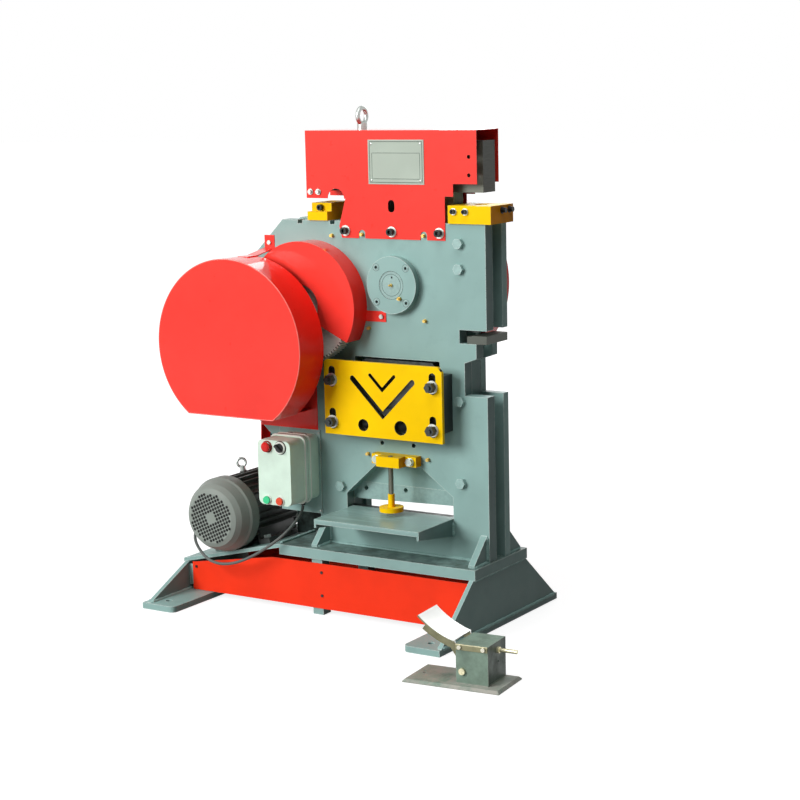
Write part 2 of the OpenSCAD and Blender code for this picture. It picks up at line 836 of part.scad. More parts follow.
module toolbox_panel() color(panel_red) {
    upright(panel_y, panel_y + panel_t) difference() {
        panel_outline();
        for (p = panel_screws) spot(p, 2.5 + seat_fit);
    }
    upright(base_rear - 10, base_rear - 10 + panel_t) panel_outline();
}

module sheet_screws() color(bright_steel) {
    for (p = panel_screws) {
        rod_y(p, 4, panel_y - 2, panel_y);
        rod_y(p, 2.5, panel_y - over, panel_y + panel_t);
    }
    for (p = guard_screws) {
        rod_y(p, 6, cover_front - 4, cover_front);
        rod_y(p, 3, cover_front - over, y_front + 12);
    }
    for (p = cover_screws) {
        rod_y(p, 8, cover_front - 3, cover_front);
        rod_y(p, 5, cover_front - 9, cover_front - 3);
    }
    for (z = [mount_panel_low + 8, mount_panel_high - 8])
        rod_y([mount_panel_right - 4, z], 3, box_back - 3, box_back);
}

// Flat bar shear
module shear_table() color(frame_paint) {
    between([table_left, y_front - table_reach, bed_top - table_t], [table_right, y_gap - bed_blade_t, bed_top]);
    between(
        [table_left, y_front - table_reach, bed_top - lip_h],
        [table_right, y_front - table_reach + skirt_t, bed_top]
    );
    for (x = [table_left, table_right - skirt_t]) sideways(x, x + skirt_t) polygon([
        [y_front - table_reach, bed_top - lip_h - 10], [y_front, bed_top - lip_h - 35],
        [y_front, bed_top - table_t], [y_front - table_reach, bed_top - table_t]
    ]);
}

module flat_bed_blade() color(dark_steel)
    between(
        [cutout_left + seat_fit, y_gap - bed_blade_t, cutout_low],
        [cutout_right - seat_fit, y_gap, bed_top]
    );

module hold_down_bracket() color(die_yellow) difference() {
    union() {
        between(
            [bracket_x - bracket_ear_w / 2, y_front - bracket_ear_t, bracket_low],
            [bracket_x + bracket_ear_w / 2, y_front, bracket_low + bracket_h]
        );
        between(
            [bracket_x - bracket_block_w / 2, y_front - bracket_reach, bracket_low],
            [bracket_x + bracket_block_w / 2, y_front, bracket_low + bracket_h]
        );
    }
    rod_z([bracket_x, spindle_y], screw_r + run_fit, bracket_low - over, bracket_low + bracket_h + over);
    for (s = [-1, 1])
        rod_y(
            [bracket_x + s * bracket_bolt_off, bracket_low + bracket_h / 2], bracket_bolt_r + seat_fit,
            y_front - bracket_ear_t - over, y_front + over
        );
}

pad_disc_h = 12;
pad_sleeve_h = 34;
pad_sleeve_r = 9;

module hold_down_pad() color(die_yellow) difference() {
    union() {
        rod_z([bracket_x, spindle_y], pad_disc_r, pad_low, pad_low + pad_disc_h);
        rod_z([bracket_x, spindle_y], pad_sleeve_r, pad_low, pad_low + pad_disc_h + pad_sleeve_h);
    }
    rod_z([bracket_x, spindle_y], screw_r - 1 + run_fit, pad_low + 6, pad_low + pad_disc_h + pad_sleeve_h + over);
}

module hold_down_screw() color(dark_steel) {
    rod_z([bracket_x, spindle_y], screw_r - 1, pad_low + 6, pad_low + pad_disc_h + pad_sleeve_h + over);
    difference() {
        rod_z(
            [bracket_x, spindle_y], screw_r,
            pad_low + pad_disc_h + pad_sleeve_h + 0.3, bracket_low + bracket_h + 1
        );
        between(
            [bracket_x - screw_r - over, spindle_y - 1.5, bracket_low + bracket_h - 3],
            [bracket_x + screw_r + over, spindle_y + 1.5, bracket_low + bracket_h + 1 + over]
        );
    }
}

// Angle and bar shear
module angle_die_block() color(dark_steel) upright(die_block_front, y_front) difference() {
    polygon([
        [die_block_left, die_block_low], [die_block_right - 40, die_block_low],
        [die_block_right, die_block_low + 17], [die_block_right, die_block_high], [die_block_left, die_block_high]
    ]);
    vee([vee_x, big_vee_z], big_vee_arm, big_vee_w + 3);
    vee([vee_x, small_vee_z], small_vee_arm, small_vee_w + 2);
    bar_holes(1);
    for (x = stud_x, z = stud_z) spot([x, z], stud_r + seat_fit);
}

module angle_guide_plate() color(die_yellow) upright(guide_front, guide_back) difference() {
    polygon([
        [guide_plate_left, guide_plate_low], [guide_plate_right, guide_plate_low],
        [guide_plate_right, guide_plate_high - 14], [guide_plate_right - 12, guide_plate_high],
        [guide_plate_left + 7, guide_plate_high], [guide_plate_left, guide_plate_high - 7]
    ]);
    vee([vee_x, big_vee_z], big_vee_arm, big_vee_w);
    vee([vee_x, small_vee_z], small_vee_arm, small_vee_w);
    bar_holes(4);
    for (x = stud_x, z = stud_z) slot([x, z + 8], stud_slot_w, stud_slot);
}

guide_play = 0.2;

module guide_studs() color(dark_steel) for (x = stud_x, z = stud_z) {
    rod_y([x, z], stud_r, guide_front - 25, y_front + 25);
    rod_y([x, z], 17, guide_front - guide_play - 3, guide_front - guide_play);
    hex_y([x, z], 24, guide_front - guide_play - 20, guide_front - guide_play - 3);
    rod_y([x, z], 11, guide_back + guide_play, die_block_front);
}

// Notching die: bar across both anvil stubs, with a pale insert beside it on the front stub
notch_edge = slot_edge + 35;

module notch_die() color(dark_steel) {
    between([notch_edge, y_front + 3, stub_high], [frame_right - 2, y_back + 3, stub_high + notch_die_h]);
    difference() {
        between([notch_edge - 14, y_front + 3, stub_high], [notch_edge, y_gap - 2, stub_high + notch_die_h - 2]);
        rod_x([y_front + 16, stub_high], 5, notch_edge - 14 - over, notch_edge + over);
    }
}

module die_blocks() color(die_yellow) {
    difference() {
        between([right_die_left, die_front, frame_top], [right_die_right, die_back, frame_top + right_die_h]);
        rod_z([right_die_x, gap_mid], right_die_r, frame_top - over, frame_top + right_die_h + over);
        for (p = right_front_screws) rod_y(p, 4 + seat_fit, die_front - over, die_front + 12);
        for (p = right_side_screws) rod_x(p, 4 + seat_fit, right_die_right - 12, right_die_right + over);
    }
    difference() {
        union() {
            between([left_die_left, die_front, frame_top], [left_die_right, die_back, frame_top + die_step]);
            between(
                [left_die_left, die_front + 21, frame_top],
                [left_die_right, die_back, frame_top + left_die_h]
            );
        }
        rod_z([left_die_x, gap_mid], left_die_r, frame_top - over, frame_top + left_die_h + over);
        rod_y(left_front_screw, 5 + seat_fit, die_front + 21 - over, die_front + 33);
    }
}

right_front_screws = [[right_die_left + 17, frame_top + 31], [right_die_left + 51, frame_top + 31]];
right_side_screws = [[die_front + 57, frame_top + 33], [die_front + 94, frame_top + 33]];
left_front_screw = [left_die_left + 30, frame_top + die_step + 10];

module socket_screws() color(dark_steel) {
    for (p = right_front_screws) socket_screw(p, die_front, 4, 9, 2, 10);
    for (p = right_side_screws) {
        rod_x(p, 9, right_die_right, right_die_right + 2);
        rod_x(p, 6.5, right_die_right + 2, right_die_right + 12);
        rod_x(p, 4, right_die_right - 10, right_die_right + over);
    }
    socket_screw(left_front_screw, die_front + 21, 5, 8, 1, 10);
    for (x = cover_bolt_x) socket_screw([x, cover_bolt_z], cover_front, 6, 14, 2, 22);
    for (sx = [-1, 1], sz = [-1, 1]) {
        p = eccentric_at + flange_screw_off * [sx, sz];
        difference() {
            rod_y(p, 7.5, y_front - flange_t - 1, y_front - flange_t + 8);
            hex_y(p, 8, y_front - flange_t - 1 - over, y_front - flange_t + 4);
        }
        rod_y(p, 5, y_front - flange_t + 7, y_front + 18);
    }
}

// Top cover: front and rear sheets joined by a top sheet, with a bar under the lifting eye
module cover_outline() {
    polygon([
        [-cover_left, 1113], [58, 1113], [37, 1041], [45, cover_low], [361, cover_low], [361, 1123],
        [386, 1123], [386, 1155], [cover_right, 1155], [cover_right, cover_top], [-cover_left, cover_top]
    ]);
}

module top_cover() color(guard_red) {
    difference() {
        union() {
            upright(cover_front, y_front) difference() {
                cover_outline();
                spot([28, 1113], 26);
                slot([200, 1096], 20, 32);
                for (p = cover_holes) spot(p, 5);
            }
            upright(y_back, cover_back) cover_outline();
            between([-cover_left, cover_front, cover_top - sheet_t], [cover_right, cover_back, cover_top]);
        }
        for (x = cover_bolt_x) rod_y([x, cover_bolt_z], 6 + seat_fit, cover_front - over, y_front + over);
        for (x = nipple_notch_x) {
            rod_y([x, cover_low + 12], 10, cover_front - over, y_front + over);
            between([x - 10, cover_front - over, cover_low - over], [x + 10, y_front + over, cover_low + 12]);
        }
        rod_z([eye_x, eye_y], 8 + seat_fit, cover_top - sheet_t - over, cover_top + over);
    }
    difference() {
        between([eye_x - 20, y_front, cover_top - sheet_t - 18], [eye_x + 20, y_back, cover_top - sheet_t]);
        rod_z([eye_x, eye_y], 8 + seat_fit, cover_top - sheet_t - 18 - over, cover_top);
    }
}

module nameplate() color(bright_steel)
    between([name_left, cover_front - 1.5, name_low], [name_left + name_w, cover_front, name_low + name_h]);

// Eye bolt that stands on +Z: ring in the given plane, collar and shank
module eye_bolt(ring_r, wire_r, shank_r, shank_l) {
    translate([0, 0, ring_r + 2 * wire_r + 4])
        rotate([90, 0, 0])
        rotate_extrude()
        translate([ring_r, 0])
        circle(wire_r);
    cylinder(r = 2.2 * wire_r, h = 2 * wire_r + 5);
    translate([0, 0, -shank_l]) cylinder(r = shank_r, h = shank_l + over);
}

module lifting_eyes() color(bright_steel) {
    translate([eye_x, eye_y, cover_top]) rotate([0, 0, 90]) eye_bolt(20, 6, 8, 18);
    motor_place() translate([0, -12, motor_fin_r + 3]) rotate([0, 0, 35]) eye_bolt(12, 3.5, 4, 12);
}

// Bearings
module bearing_flange() color(frame_paint) difference() {
    union() {
        rod_y(eccentric_at, flange_r, y_front - flange_t, y_front);
        rod_y(eccentric_at, eccentric_bush_r, y_front - over, y_gap);
    }
    rod_y(eccentric_at, eccentric_shaft_r + run_fit, y_front - flange_t - over, y_gap + over);
    for (sx = [-1, 1], sz = [-1, 1]) {
        p = eccentric_at + flange_screw_off * [sx, sz];
        rod_y(p, 7.5 + seat_fit, y_front - flange_t - over, y_front - flange_t + 8);
        rod_y(p, 5 + seat_fit, y_front - flange_t, y_front + over);
    }
}

module bush(p, bore, outer, flange, face, side, depth, thick) difference() {
    union() {
        rod_y(p, outer, min(face, face - side * depth), max(face, face - side * depth));
        rod_y(p, flange, min(face, face + side * thick), max(face, face + side * thick));
    }
    rod_y(p, bore + run_fit, y_front - 40, y_back + 40);
}

module shaft_bushes() color(brass) {
    bush(
        eccentric_at, eccentric_shaft_r, eccentric_bush_r, eccentric_bush_r + 20,
        y_back, 1, rear_plate_t, rear_flange_t
    );
    for (p = [intermediate_at, flywheel_at]) {
        bush(p, shaft_r, bush_r, bush_flange_r, y_front, -1, front_plate_t, bush_flange_t);
        bush(p, shaft_r, bush_r, bush_flange_r, y_back, 1, rear_plate_t, bush_flange_t);
    }
}

// Guards
module flywheel_guard_outline(inset) difference() {
    spot(flywheel_at, flywheel_guard_r - inset);
    translate([flywheel_at[0] - 400, flywheel_guard_low - 400 + inset]) square([800, 400]);
}

module flywheel_guard() color(guard_red) {
    back = -flywheel_guard_front + flywheel_guard_d;
    shelf = flywheel_guard_low + sheet_t;
    rim_top = flywheel_at[1] + flywheel_guard_r;
    upright(-flywheel_guard_front, -flywheel_guard_front + sheet_t) flywheel_guard_outline(0);
    upright(-flywheel_guard_front, back) difference() {
        flywheel_guard_outline(0);
        flywheel_guard_outline(sheet_t);
    }
    // Strap from the rim's top back to a tab on the frame
    sideways(strap_tab[0], strap_tab[1]) polygon([
        [back - 40, rim_top - sheet_t], [back, rim_top - sheet_t],
        [y_front - sheet_t, strap_tab_z[0]], [y_front - sheet_t, strap_tab_z[0] + sheet_t],
        [back, rim_top + 1], [back - 40, rim_top + 1]
    ]);
    difference() {
        between([strap_tab[0], y_front - sheet_t, strap_tab_z[0]], [strap_tab[1], y_front, strap_tab_z[1]]);
        rod_y(guard_screws[0], 3 + seat_fit, cover_front - over, y_front + over);
    }
    // Shelf from the flat underside back to a sheet on the frame
    between([x_left + 6, back - over, flywheel_guard_low], [back_sheet_right - 20, y_front, shelf]);
    between([x_left + 6, y_front - sheet_t, mount_panel_high], [back_sheet_right, y_front, shelf + 60]);
}

module gear_guard_outline(inset) difference() {
    spot(intermediate_at, gear_guard_r - inset);
    spot(flywheel_at, gear_clear_r);
    spot(intermediate_at, gear_eye_r);
    polygon([[-400, 980], [-400, 500], [200, 500], [200, 690], [13, 780]]);
}

module gear_guard() color(guard_red) difference() {
    union() {
        upright(y_front - gear_guard_d, y_front - gear_guard_d + sheet_t) gear_guard_outline(0);
        upright(y_front - gear_guard_d, y_front) difference() {
            gear_guard_outline(0);
            spot(intermediate_at, gear_guard_r - sheet_t);
        }
        between([guard_tab[0] - 30, y_front - sheet_t, guard_tab_z[0]], [guard_tab[1], y_front, guard_tab_z[1]]);
    }
    rod_y(intermediate_at, gear_guard_r - sheet_t, y_front - gear_guard_d + sheet_t, y_front + over);
    rod_y(guard_screws[1], 3 + seat_fit, cover_front - over, y_front + over);
}

module rear_guard_outline(inset) {
    spot(eccentric_at, rear_guard_r - inset);
    spot(intermediate_at, rear_lobe_r - inset);
}

module rear_gear_guard() color(guard_red) {
    upright(rear_guard_back - sheet_t, rear_guard_back) rear_guard_outline(0);
    upright(rear_rim_front, rear_guard_back) difference() {
        rear_guard_outline(0);
        rear_guard_outline(sheet_t);
    }
    for (a = rear_tab_angles)
        translate([eccentric_x, y_back, eccentric_z]) rotate([0, -a, 0])
        between([rear_guard_r - sheet_t, 0, -15], [rear_guard_r + 24, 4, 15]);
}

module belt_guard() color(guard_red) {
    upright(belt_guard_back - sheet_t, belt_guard_back) pulley_loop(belt_guard_r, belt_guard_small_r);
    upright(belt_guard_front, belt_guard_back) difference() {
        pulley_loop(belt_guard_r, belt_guard_small_r);
        pulley_loop(belt_guard_r - sheet_t, belt_guard_small_r - sheet_t);
    }
    for (p = belt_posts) rod_y(flywheel_at + p, 6, y_back, belt_guard_back - sheet_t / 2);
}

module grease_nipples() color(brass) {
    for (p = nipples) {
        hex_y(p, 9, y_front - 5, y_front);
        rod_y(p, nipple_r, y_front - 10, y_front + 8);
    }
    hex_y(flange_nipple_at, 9, y_front - flange_t - 6, y_front - flange_t);
    rod_y(flange_nipple_at, 3, y_front - flange_t - 12, y_front - flange_t - 5);
}

// Motor
module motor_frame() color(dark_steel) motor_place() difference() {
    union() {
        rod_y([0, 0], motor_core_r, motor_front, motor_back - 16);
        rod_y([0, 0], motor_core_r + 8, motor_back - 18, motor_back);
        for (i = [0 : motor_fins - 1])
            rotate([0, i * 360 / motor_fins, 0])
            between([-1.5, motor_front, motor_core_r - 5], [1.5, motor_back - 24, motor_fin_r]);
        for (s = [-1, 1]) {
            between(
                [s * foot_bolt_off[1] - 18, -88, -motor_height],
                [s * foot_bolt_off[1] + 18, 88, -motor_height + 14]
            );
            between([s * 60 - 6, -80, -motor_height], [s * 60 + 6, 80, -40]);
        }
        between(
            [-motor_fin_r - 3, terminal_y[0] + 8, terminal_z[0] + 8],
            [-60, terminal_y[1] - 8, terminal_z[1] - 8]
        );
        rod_z([0, -12], 10, motor_core_r - 5, motor_fin_r + 3);
    }
    rod_y([0, 0], motor_shaft_r + run_fit, motor_front - over, motor_back + over);
    rod_z([0, -12], 4 + seat_fit, motor_fin_r - 10, motor_fin_r + 4);
    for (sx = [-1, 1], sy = [-1, 1])
        translate([sx * foot_bolt_off[1], sy * foot_bolt_off[0], -motor_height - over])
        cylinder(r = foot_bolt_r + seat_fit, h = 14 + 2 * over);
}

cowl_t = 2;

// Fan cowl: dished front face, rounded shoulder and a slight taper
module motor_cowl() color("#969B91") motor_place()
    translate([0, -cowl_front, 0]) rotate([-90, 0, 0]) rotate_extrude() polygon([
        [0, 0], [cowl_r - 34, 0], [cowl_r - 22, 6], [cowl_r - 12, 20], [cowl_r - 4, 46], [cowl_r, 52],
        [cowl_r, cowl_l], [motor_core_r + seat_fit, cowl_l], [motor_core_r + seat_fit, cowl_l - cowl_t],
        [cowl_r - cowl_t, cowl_l - cowl_t], [cowl_r - cowl_t, 53], [cowl_r - 6, 47], [cowl_r - 14, 21],
        [cowl_r - 23, 8], [cowl_r - 34, cowl_t], [0, cowl_t]
    ]);

module motor_rotor() color(bright_steel) motor_place() {
    rod_y([0, 0], motor_shaft_r, -cowl_front + 22, pulley_back + 4);
    rod_y([0, 0], 70, -cowl_front + 30, -cowl_front + 34);
}

module grooved_pulley(r, bore) difference() {
    cylinder(r = r, h = pulley_w);
    for (z = [pulley_w / 4 + 1, pulley_w * 3 / 4 - 1])
        translate([0, 0, z - groove_w / 2]) difference() {
            cylinder(r = r + over, h = groove_w);
            translate([0, 0, -over]) cylinder(r = r - groove_d, h = groove_w + 2 * over);
        }
    translate([0, 0, -over]) cylinder(r = bore + seat_fit / 2, h = pulley_w + 2 * over);
}

groove_d = 12;
groove_w = belt_w + 0.8;
belt_h = 9;

module motor_pulley() color(dark_steel)
    translate([motor_x, pulley_front, motor_z])
        rotate([-90, 0, 0]) grooved_pulley(motor_pulley_r, motor_shaft_r);

module flywheel_pulley() color(dark_steel)
    translate([flywheel_at[0], pulley_front, flywheel_at[1]]) rotate([-90, 0, 0]) difference() {
        grooved_pulley(pulley_r, shaft_r);
        for (i = [0 : 4]) rotate(i * 72) translate([80, 0, -over]) cylinder(r = 26, h = pulley_w + 2 * over);
    }

module v_belts() color("#202220") for (f = [pulley_w / 4 + 1, pulley_w * 3 / 4 - 1])
    upright(pulley_front + f - belt_w / 2, pulley_front + f + belt_w / 2) difference() {
        pulley_loop(pulley_r - groove_d + 0.4 + belt_h, motor_pulley_r - groove_d + 0.4 + belt_h);
        pulley_loop(pulley_r - groove_d + 0.4, motor_pulley_r - groove_d + 0.4);
    }

module terminal_box() color(dark_steel) motor_place()
    between([terminal_x[0], terminal_y[0], terminal_z[0]], [terminal_x[1], terminal_y[1], terminal_z[1]]);

// Ram
module ram_outline() difference() {
    translate([ram_left, blade_seat]) square([ram_right - ram_left, head_low - blade_seat]);
    translate([eccentric_x - window_w / 2, window_low]) square([window_w, window_high - window_low]);
    difference() {
        translate([vee_x - 102, angle_window_low - 3]) square([204, big_vee_z + 115 - angle_window_low]);
        translate([vee_x - 103, bar_cut_z]) square([64, 18]);
        translate([vee_x + 27, bar_cut_z]) square([76, 18]);
    }
}

module ram() color(frame_paint) upright(ram_front, ram_back) ram_outline();

module ram_head() color(dark_steel) difference() {
    between([head_left, gap_mid - head_d / 2, head_low], [head_right, gap_mid + head_d / 2, head_low + head_h]);
    for (x = [left_die_x, right_die_x]) rod_z([x, gap_mid], punch_socket_r, head_low - over, head_low + 50);
}

flat_bolt_holes = [[77, 336], [202, 341]];

module ram_blades() color(frame_paint) {
    upright(ram_front, ram_back) difference() {
        polygon([[ram_left, rake_left], [ram_right, rake_right], [ram_right, blade_seat], [ram_left, blade_seat]]);
        for (p = flat_bolt_holes) spot(p, 6);
    }
    upright(y_front + 0.5, ram_front) difference() {
        polygon([
            [window_left + 10, big_vee_z + 110], [vee_x - 92, big_vee_z + 110], [vee_x, big_vee_z + 18],
            [vee_x + 92, big_vee_z + 110], [window_right - 10, big_vee_z + 110],
            [window_right - 10, angle_window_high - 19], [window_right - 24, angle_window_high - 5],
            [window_left + 34, angle_window_high - 5], [window_left + 10, angle_window_high - 22]
        ]);
        vee([vee_x, small_vee_z], small_vee_arm, small_vee_w + 2);
    }
    between([ram_right, ram_front + 2, throat_top - 10], [notch_edge - ram_clear, ram_back - 2, throat_top + 95]);
}

// Drive train
module eccentric_shaft() color(bright_steel) difference() {
    union() {
        rod_y(eccentric_at, eccentric_shaft_r, y_front - flange_t + 1, rear_gear_back + 3);
        rod_y(eccentric_at + [0, throw], journal_r, gap_mid - block_t / 2, gap_mid + block_t / 2);
    }
    rod_y(eccentric_at, 4, y_front - flange_t, y_front - flange_t + 12);
    rod_y(eccentric_at + [2, 20], 3, y_front - flange_t, y_front - flange_t + 9);
}

module slide_block() color(brass) difference() {
    between(
        [eccentric_x - block_w / 2, gap_mid - block_t / 2, eccentric_z + throw - block_h / 2],
        [eccentric_x + block_w / 2, gap_mid + block_t / 2, eccentric_z + throw + block_h / 2]
    );
    rod_y(eccentric_at + [0, throw], journal_r + run_fit, gap_mid - block_t, gap_mid + block_t);
}

module main_gear() color(dark_steel) difference() {
    gear(eccentric_at, rear_module, main_gear_teeth, rear_mesh_angle, rear_gear_front, rear_gear_back);
    rod_y(eccentric_at, eccentric_shaft_r + seat_fit / 2, rear_gear_front - over, rear_gear_back + over);
    for (i = [0 : 5])
        rod_y(eccentric_at + polar(118, i * 60 + 30), 40, rear_gear_front - over, rear_gear_back + over);
}

module intermediate_shaft() color(bright_steel) {
    rod_y(intermediate_at, shaft_r, front_gear_front - 2, rear_gear_back + 2);
    gear(
        intermediate_at, rear_module, rear_pinion_teeth,
        rear_mesh_angle + 180 + 180 / rear_pinion_teeth, rear_gear_front, rear_gear_back
    );
}

module intermediate_gear() color(dark_steel) difference() {
    gear(intermediate_at, front_module, front_gear_teeth, front_mesh_angle, front_gear_front, front_gear_back);
    rod_y(intermediate_at, shaft_r + seat_fit / 2, front_gear_front - over, front_gear_back + over);
    for (i = [0 : 4])
        rod_y(intermediate_at + polar(85, i * 72), 30, front_gear_front - over, front_gear_back + over);
}

module flywheel_shaft() color(bright_steel) {
    rod_y(flywheel_at, shaft_r, flywheel_front - 5, pulley_back + 5);
    gear(
        flywheel_at, front_module, front_pinion_teeth,
        front_mesh_angle + 180 + 180 / front_pinion_teeth, front_gear_front, front_gear_back
    );
}

module flywheel() color(dark_steel)
    translate([flywheel_at[0], flywheel_front, flywheel_at[1]]) rotate([-90, 0, 0]) difference() {
        rotate_extrude() polygon([
            [shaft_r + seat_fit / 2, 0], [50, 0], [50, flywheel_w / 2 - 10],
            [flywheel_r - 40, flywheel_w / 2 - 10], [flywheel_r - 40, 0], [flywheel_r, 0],
            [flywheel_r, flywheel_w], [flywheel_r - 40, flywheel_w], [flywheel_r - 40, flywheel_w / 2 + 10],
            [50, flywheel_w / 2 + 10], [50, flywheel_w], [shaft_r + seat_fit / 2, flywheel_w]
        ]);
        for (i = [0 : 4]) rotate(i * 72) translate([92, 0, -over]) cylinder(r = 24, h = flywheel_w + 2 * over);
    }

// Control box
module mount_panel() color(frame_paint)
    between([mount_panel_left, box_back, mount_panel_low], [mount_panel_right, y_front, mount_panel_high]);

module control_box() color(box_green) difference() {
    union() {
        upright(box_rim_back, box_back) translate([box_mid_x, box_mid_z]) rounded(box_w, box_h, box_corner);
        upright(box_rim_back, box_rim_back + box_rim_d / 2)
            translate([box_mid_x, box_mid_z]) rounded(box_w + 8, box_h + 8, box_corner + 4);
    }
    upright(box_rim_back - over, box_back - 3)
        translate([box_mid_x, box_mid_z]) rounded(box_w - 6, box_h - 6, box_corner - 3);
    rod_z(gland_at, 6 + seat_fit, box_low - 10, box_low + 10);
}

module control_box_lid() color(box_green) difference() {
    union() {
        upright(box_front, box_rim_back) translate([box_mid_x, box_mid_z]) rounded(box_w, box_h, box_corner);
        upright(box_lid_back + box_rim_d / 2, box_rim_back)
            translate([box_mid_x, box_mid_z]) rounded(box_w + 8, box_h + 8, box_corner + 4);
    }
    upright(box_front + 3, box_rim_back + over)
        translate([box_mid_x, box_mid_z]) rounded(box_w - 6, box_h - 6, box_corner - 3);
    for (x = switch_x) rod_y([x, switch_row], button_stem_r + button_fit, box_front - over, box_front + 4);
    for (x = button_x) rod_y([x, button_row], button_stem_r + button_fit, box_front - over, box_front + 4);
}

module emergency_stop() color("#E01E14") {
    translate([switch_x[0], box_front - 14, switch_row]) rotate([-90, 0, 0]) rotate_extrude()
        polygon([[0, 0], [9, 0], [13, 3], [13, 7], [9, 9], [button_stem_r, 9], [button_stem_r, 34], [0, 34]]);
}

module selector() color("#202220") {
    rod_y([switch_x[1], switch_row], button_stem_r, box_front - 4, box_front + 20);
    rod_y([switch_x[1], switch_row], 12, box_front - 7, box_front - 0.5);
    translate([switch_x[1], box_front - 16, switch_row])
        rotate([0, 40, 0]) between([-12, 0, -3.5], [12, 10, 3.5]);
}

module push_button(x) {
    rod_y([x, button_row], button_stem_r, box_front - 6, box_front + 20);
    rod_y([x, button_row], 10, box_front - 8, box_front - 3.5);
}

module start_button() color("#3CD28C") push_button(button_x[0]);

module stop_button() color("#E8502D") push_button(button_x[1]);

module cable_glands() color("#2A2C2A") {
    rod_z(gland_at, 6, box_low - 17, box_low + 6);
    translate([gland_at[0], gland_at[1], box_low - 10]) cylinder(d = 19 / cos(30), h = 10, $fn = 6);
    motor_place() {
        rod_y(terminal_gland_at, 7, terminal_y[0] - 17, terminal_y[0]);
        hex_y(terminal_gland_at, 19, terminal_y[0] - 8, terminal_y[0]);
    }
}

// Round tube along a route; each ring stands square to it
function unit(v) = v / norm(v);
function heading_at(route, i) = unit(route[min(i + 1, len(route) - 1)] - route[max(i - 1, 0)]);
function side_at(t) = unit(cross(t, [0.3, 0.9, 0.1]));
function ring_at(route, i, r, sides) =
    let (t = heading_at(route, i), u = side_at(t), w = cross(t, u))
    [for (k = [0 : sides - 1]) route[i] + r * cos(360 * k / sides) * u + r * sin(360 * k / sides) * w];

module tube(route, r, sides) {
    last = len(route) - 1;
    points = [for (i = [0 : last]) each ring_at(route, i, r, sides)];
    sleeve = [
        for (i = [0 : last - 1], k = [0 : sides - 1])
            let (a = i * sides + k, b = i * sides + (k + 1) % sides)
            each [[a, a + sides, b], [b, a + sides, b + sides]]
    ];
    near_cap = [for (k = [1 : sides - 2]) [0, k, k + 1]];
    far_cap = [for (k = [1 : sides - 2]) [last * sides, last * sides + k + 1, last * sides + k]];
    polyhedron(points, concat(sleeve, near_cap, far_cap));
}

module motor_cable() color("#8E948E") tube(cable_route, cable_d / 2, cable_sides);

// Foot pedal
module pedal_base() color("#7C8A80") pedal_place() {
    difference() {
        between([-pedal_l / 2, -pedal_w / 2, 0], [pedal_l / 2, pedal_w / 2, pedal_t]);
        rod_z([-pedal_l / 2 + 28, 0], 5, -over, pedal_t + over);
        for (s = [-1, 1]) {
            translate([s * pedal_l / 2, 0, pedal_t])
                rotate([0, 45, 0]) cube([pedal_t, pedal_w + over, pedal_t], center = true);
            translate([0, s * pedal_w / 2, pedal_t])
                rotate([45, 0, 0]) cube([pedal_l + over, pedal_t, pedal_t], center = true);
        }
    }
    difference() {
        between([housing_left, housing_front, pedal_t], [housing_right, housing_back, housing_top]);
        between(
            [housing_left - over, housing_front + housing_wall, pedal_t - over],
            [housing_right - housing_wall, housing_back - housing_wall, housing_top - housing_wall]
        );
        rod_y([pivot_x, pivot_z], pivot_r + seat_fit, housing_front - over, housing_back + over);
        rod_x([12, 84], 5 + seat_fit, housing_right - housing_wall - over, housing_right + over);
        rod_x([12, 56], 3, housing_right - housing_wall - over, housing_right + over);
    }
}

module pedal_fittings() color(brass) pedal_place() {
    between(
        [housing_left + 1, housing_front - 3, housing_top - 14],
        [housing_right - 1, housing_front, housing_top]
    );
    for (x = [housing_left + 11, housing_right - 11])
        rod_y([x, housing_top - 7], 5, housing_front - 7, housing_front - 3);
    rod_y([pivot_x, pivot_z], pivot_r, housing_front - 4, housing_back + 4);
    rod_y([pivot_x, pivot_z], 8, housing_front - 6, housing_front);
    rod_y([pivot_x, pivot_z], 8, housing_back, housing_back + 6);
    rod_x([12, 84], 5, housing_right - housing_wall, housing_right + 50);
    rod_x([12, 84], 8, housing_right, housing_right + 5);
}

// Treadle: curved plate with two cheeks down to the pivot
module treadle_arc(depth, spread) intersection() {
    difference() {
        spot(treadle_centre, treadle_r + depth);
        spot(treadle_centre, treadle_r);
    }
    polygon([
        treadle_centre, treadle_centre + polar(2 * treadle_r, treadle_end - spread),
        treadle_centre + polar(2 * treadle_r, treadle_end)
    ]);
}

module treadle() color("#F2F4F0") pedal_place() difference() {
    mid = (housing_front + housing_back) / 2;
    union() {
        upright(mid - housing_d / 2, mid + housing_d / 2) treadle_arc(4, 2 * treadle_bend);
        for (s = [-1, 1]) {
            y0 = mid + s * (treadle_w / 2 - 2);
            upright(y0 - 2, y0 + 2) {
                treadle_arc(20, 1.5 * treadle_bend);
                polygon([
                    treadle_low, treadle_centre + polar(treadle_r + 2, treadle_end - 1),
                    treadle_centre + polar(treadle_r + 20, treadle_end - 1), [housing_left + 2, housing_top - 39],
                    [pivot_x - 11, pivot_z], [pivot_x + 11, pivot_z], [housing_left + 8, housing_top - 26]
                ]);
                spot([pivot_x, pivot_z], 11);
            }
        }
    }
    rod_y([pivot_x, pivot_z], pivot_r + run_fit, housing_front - over, housing_back + over);
}

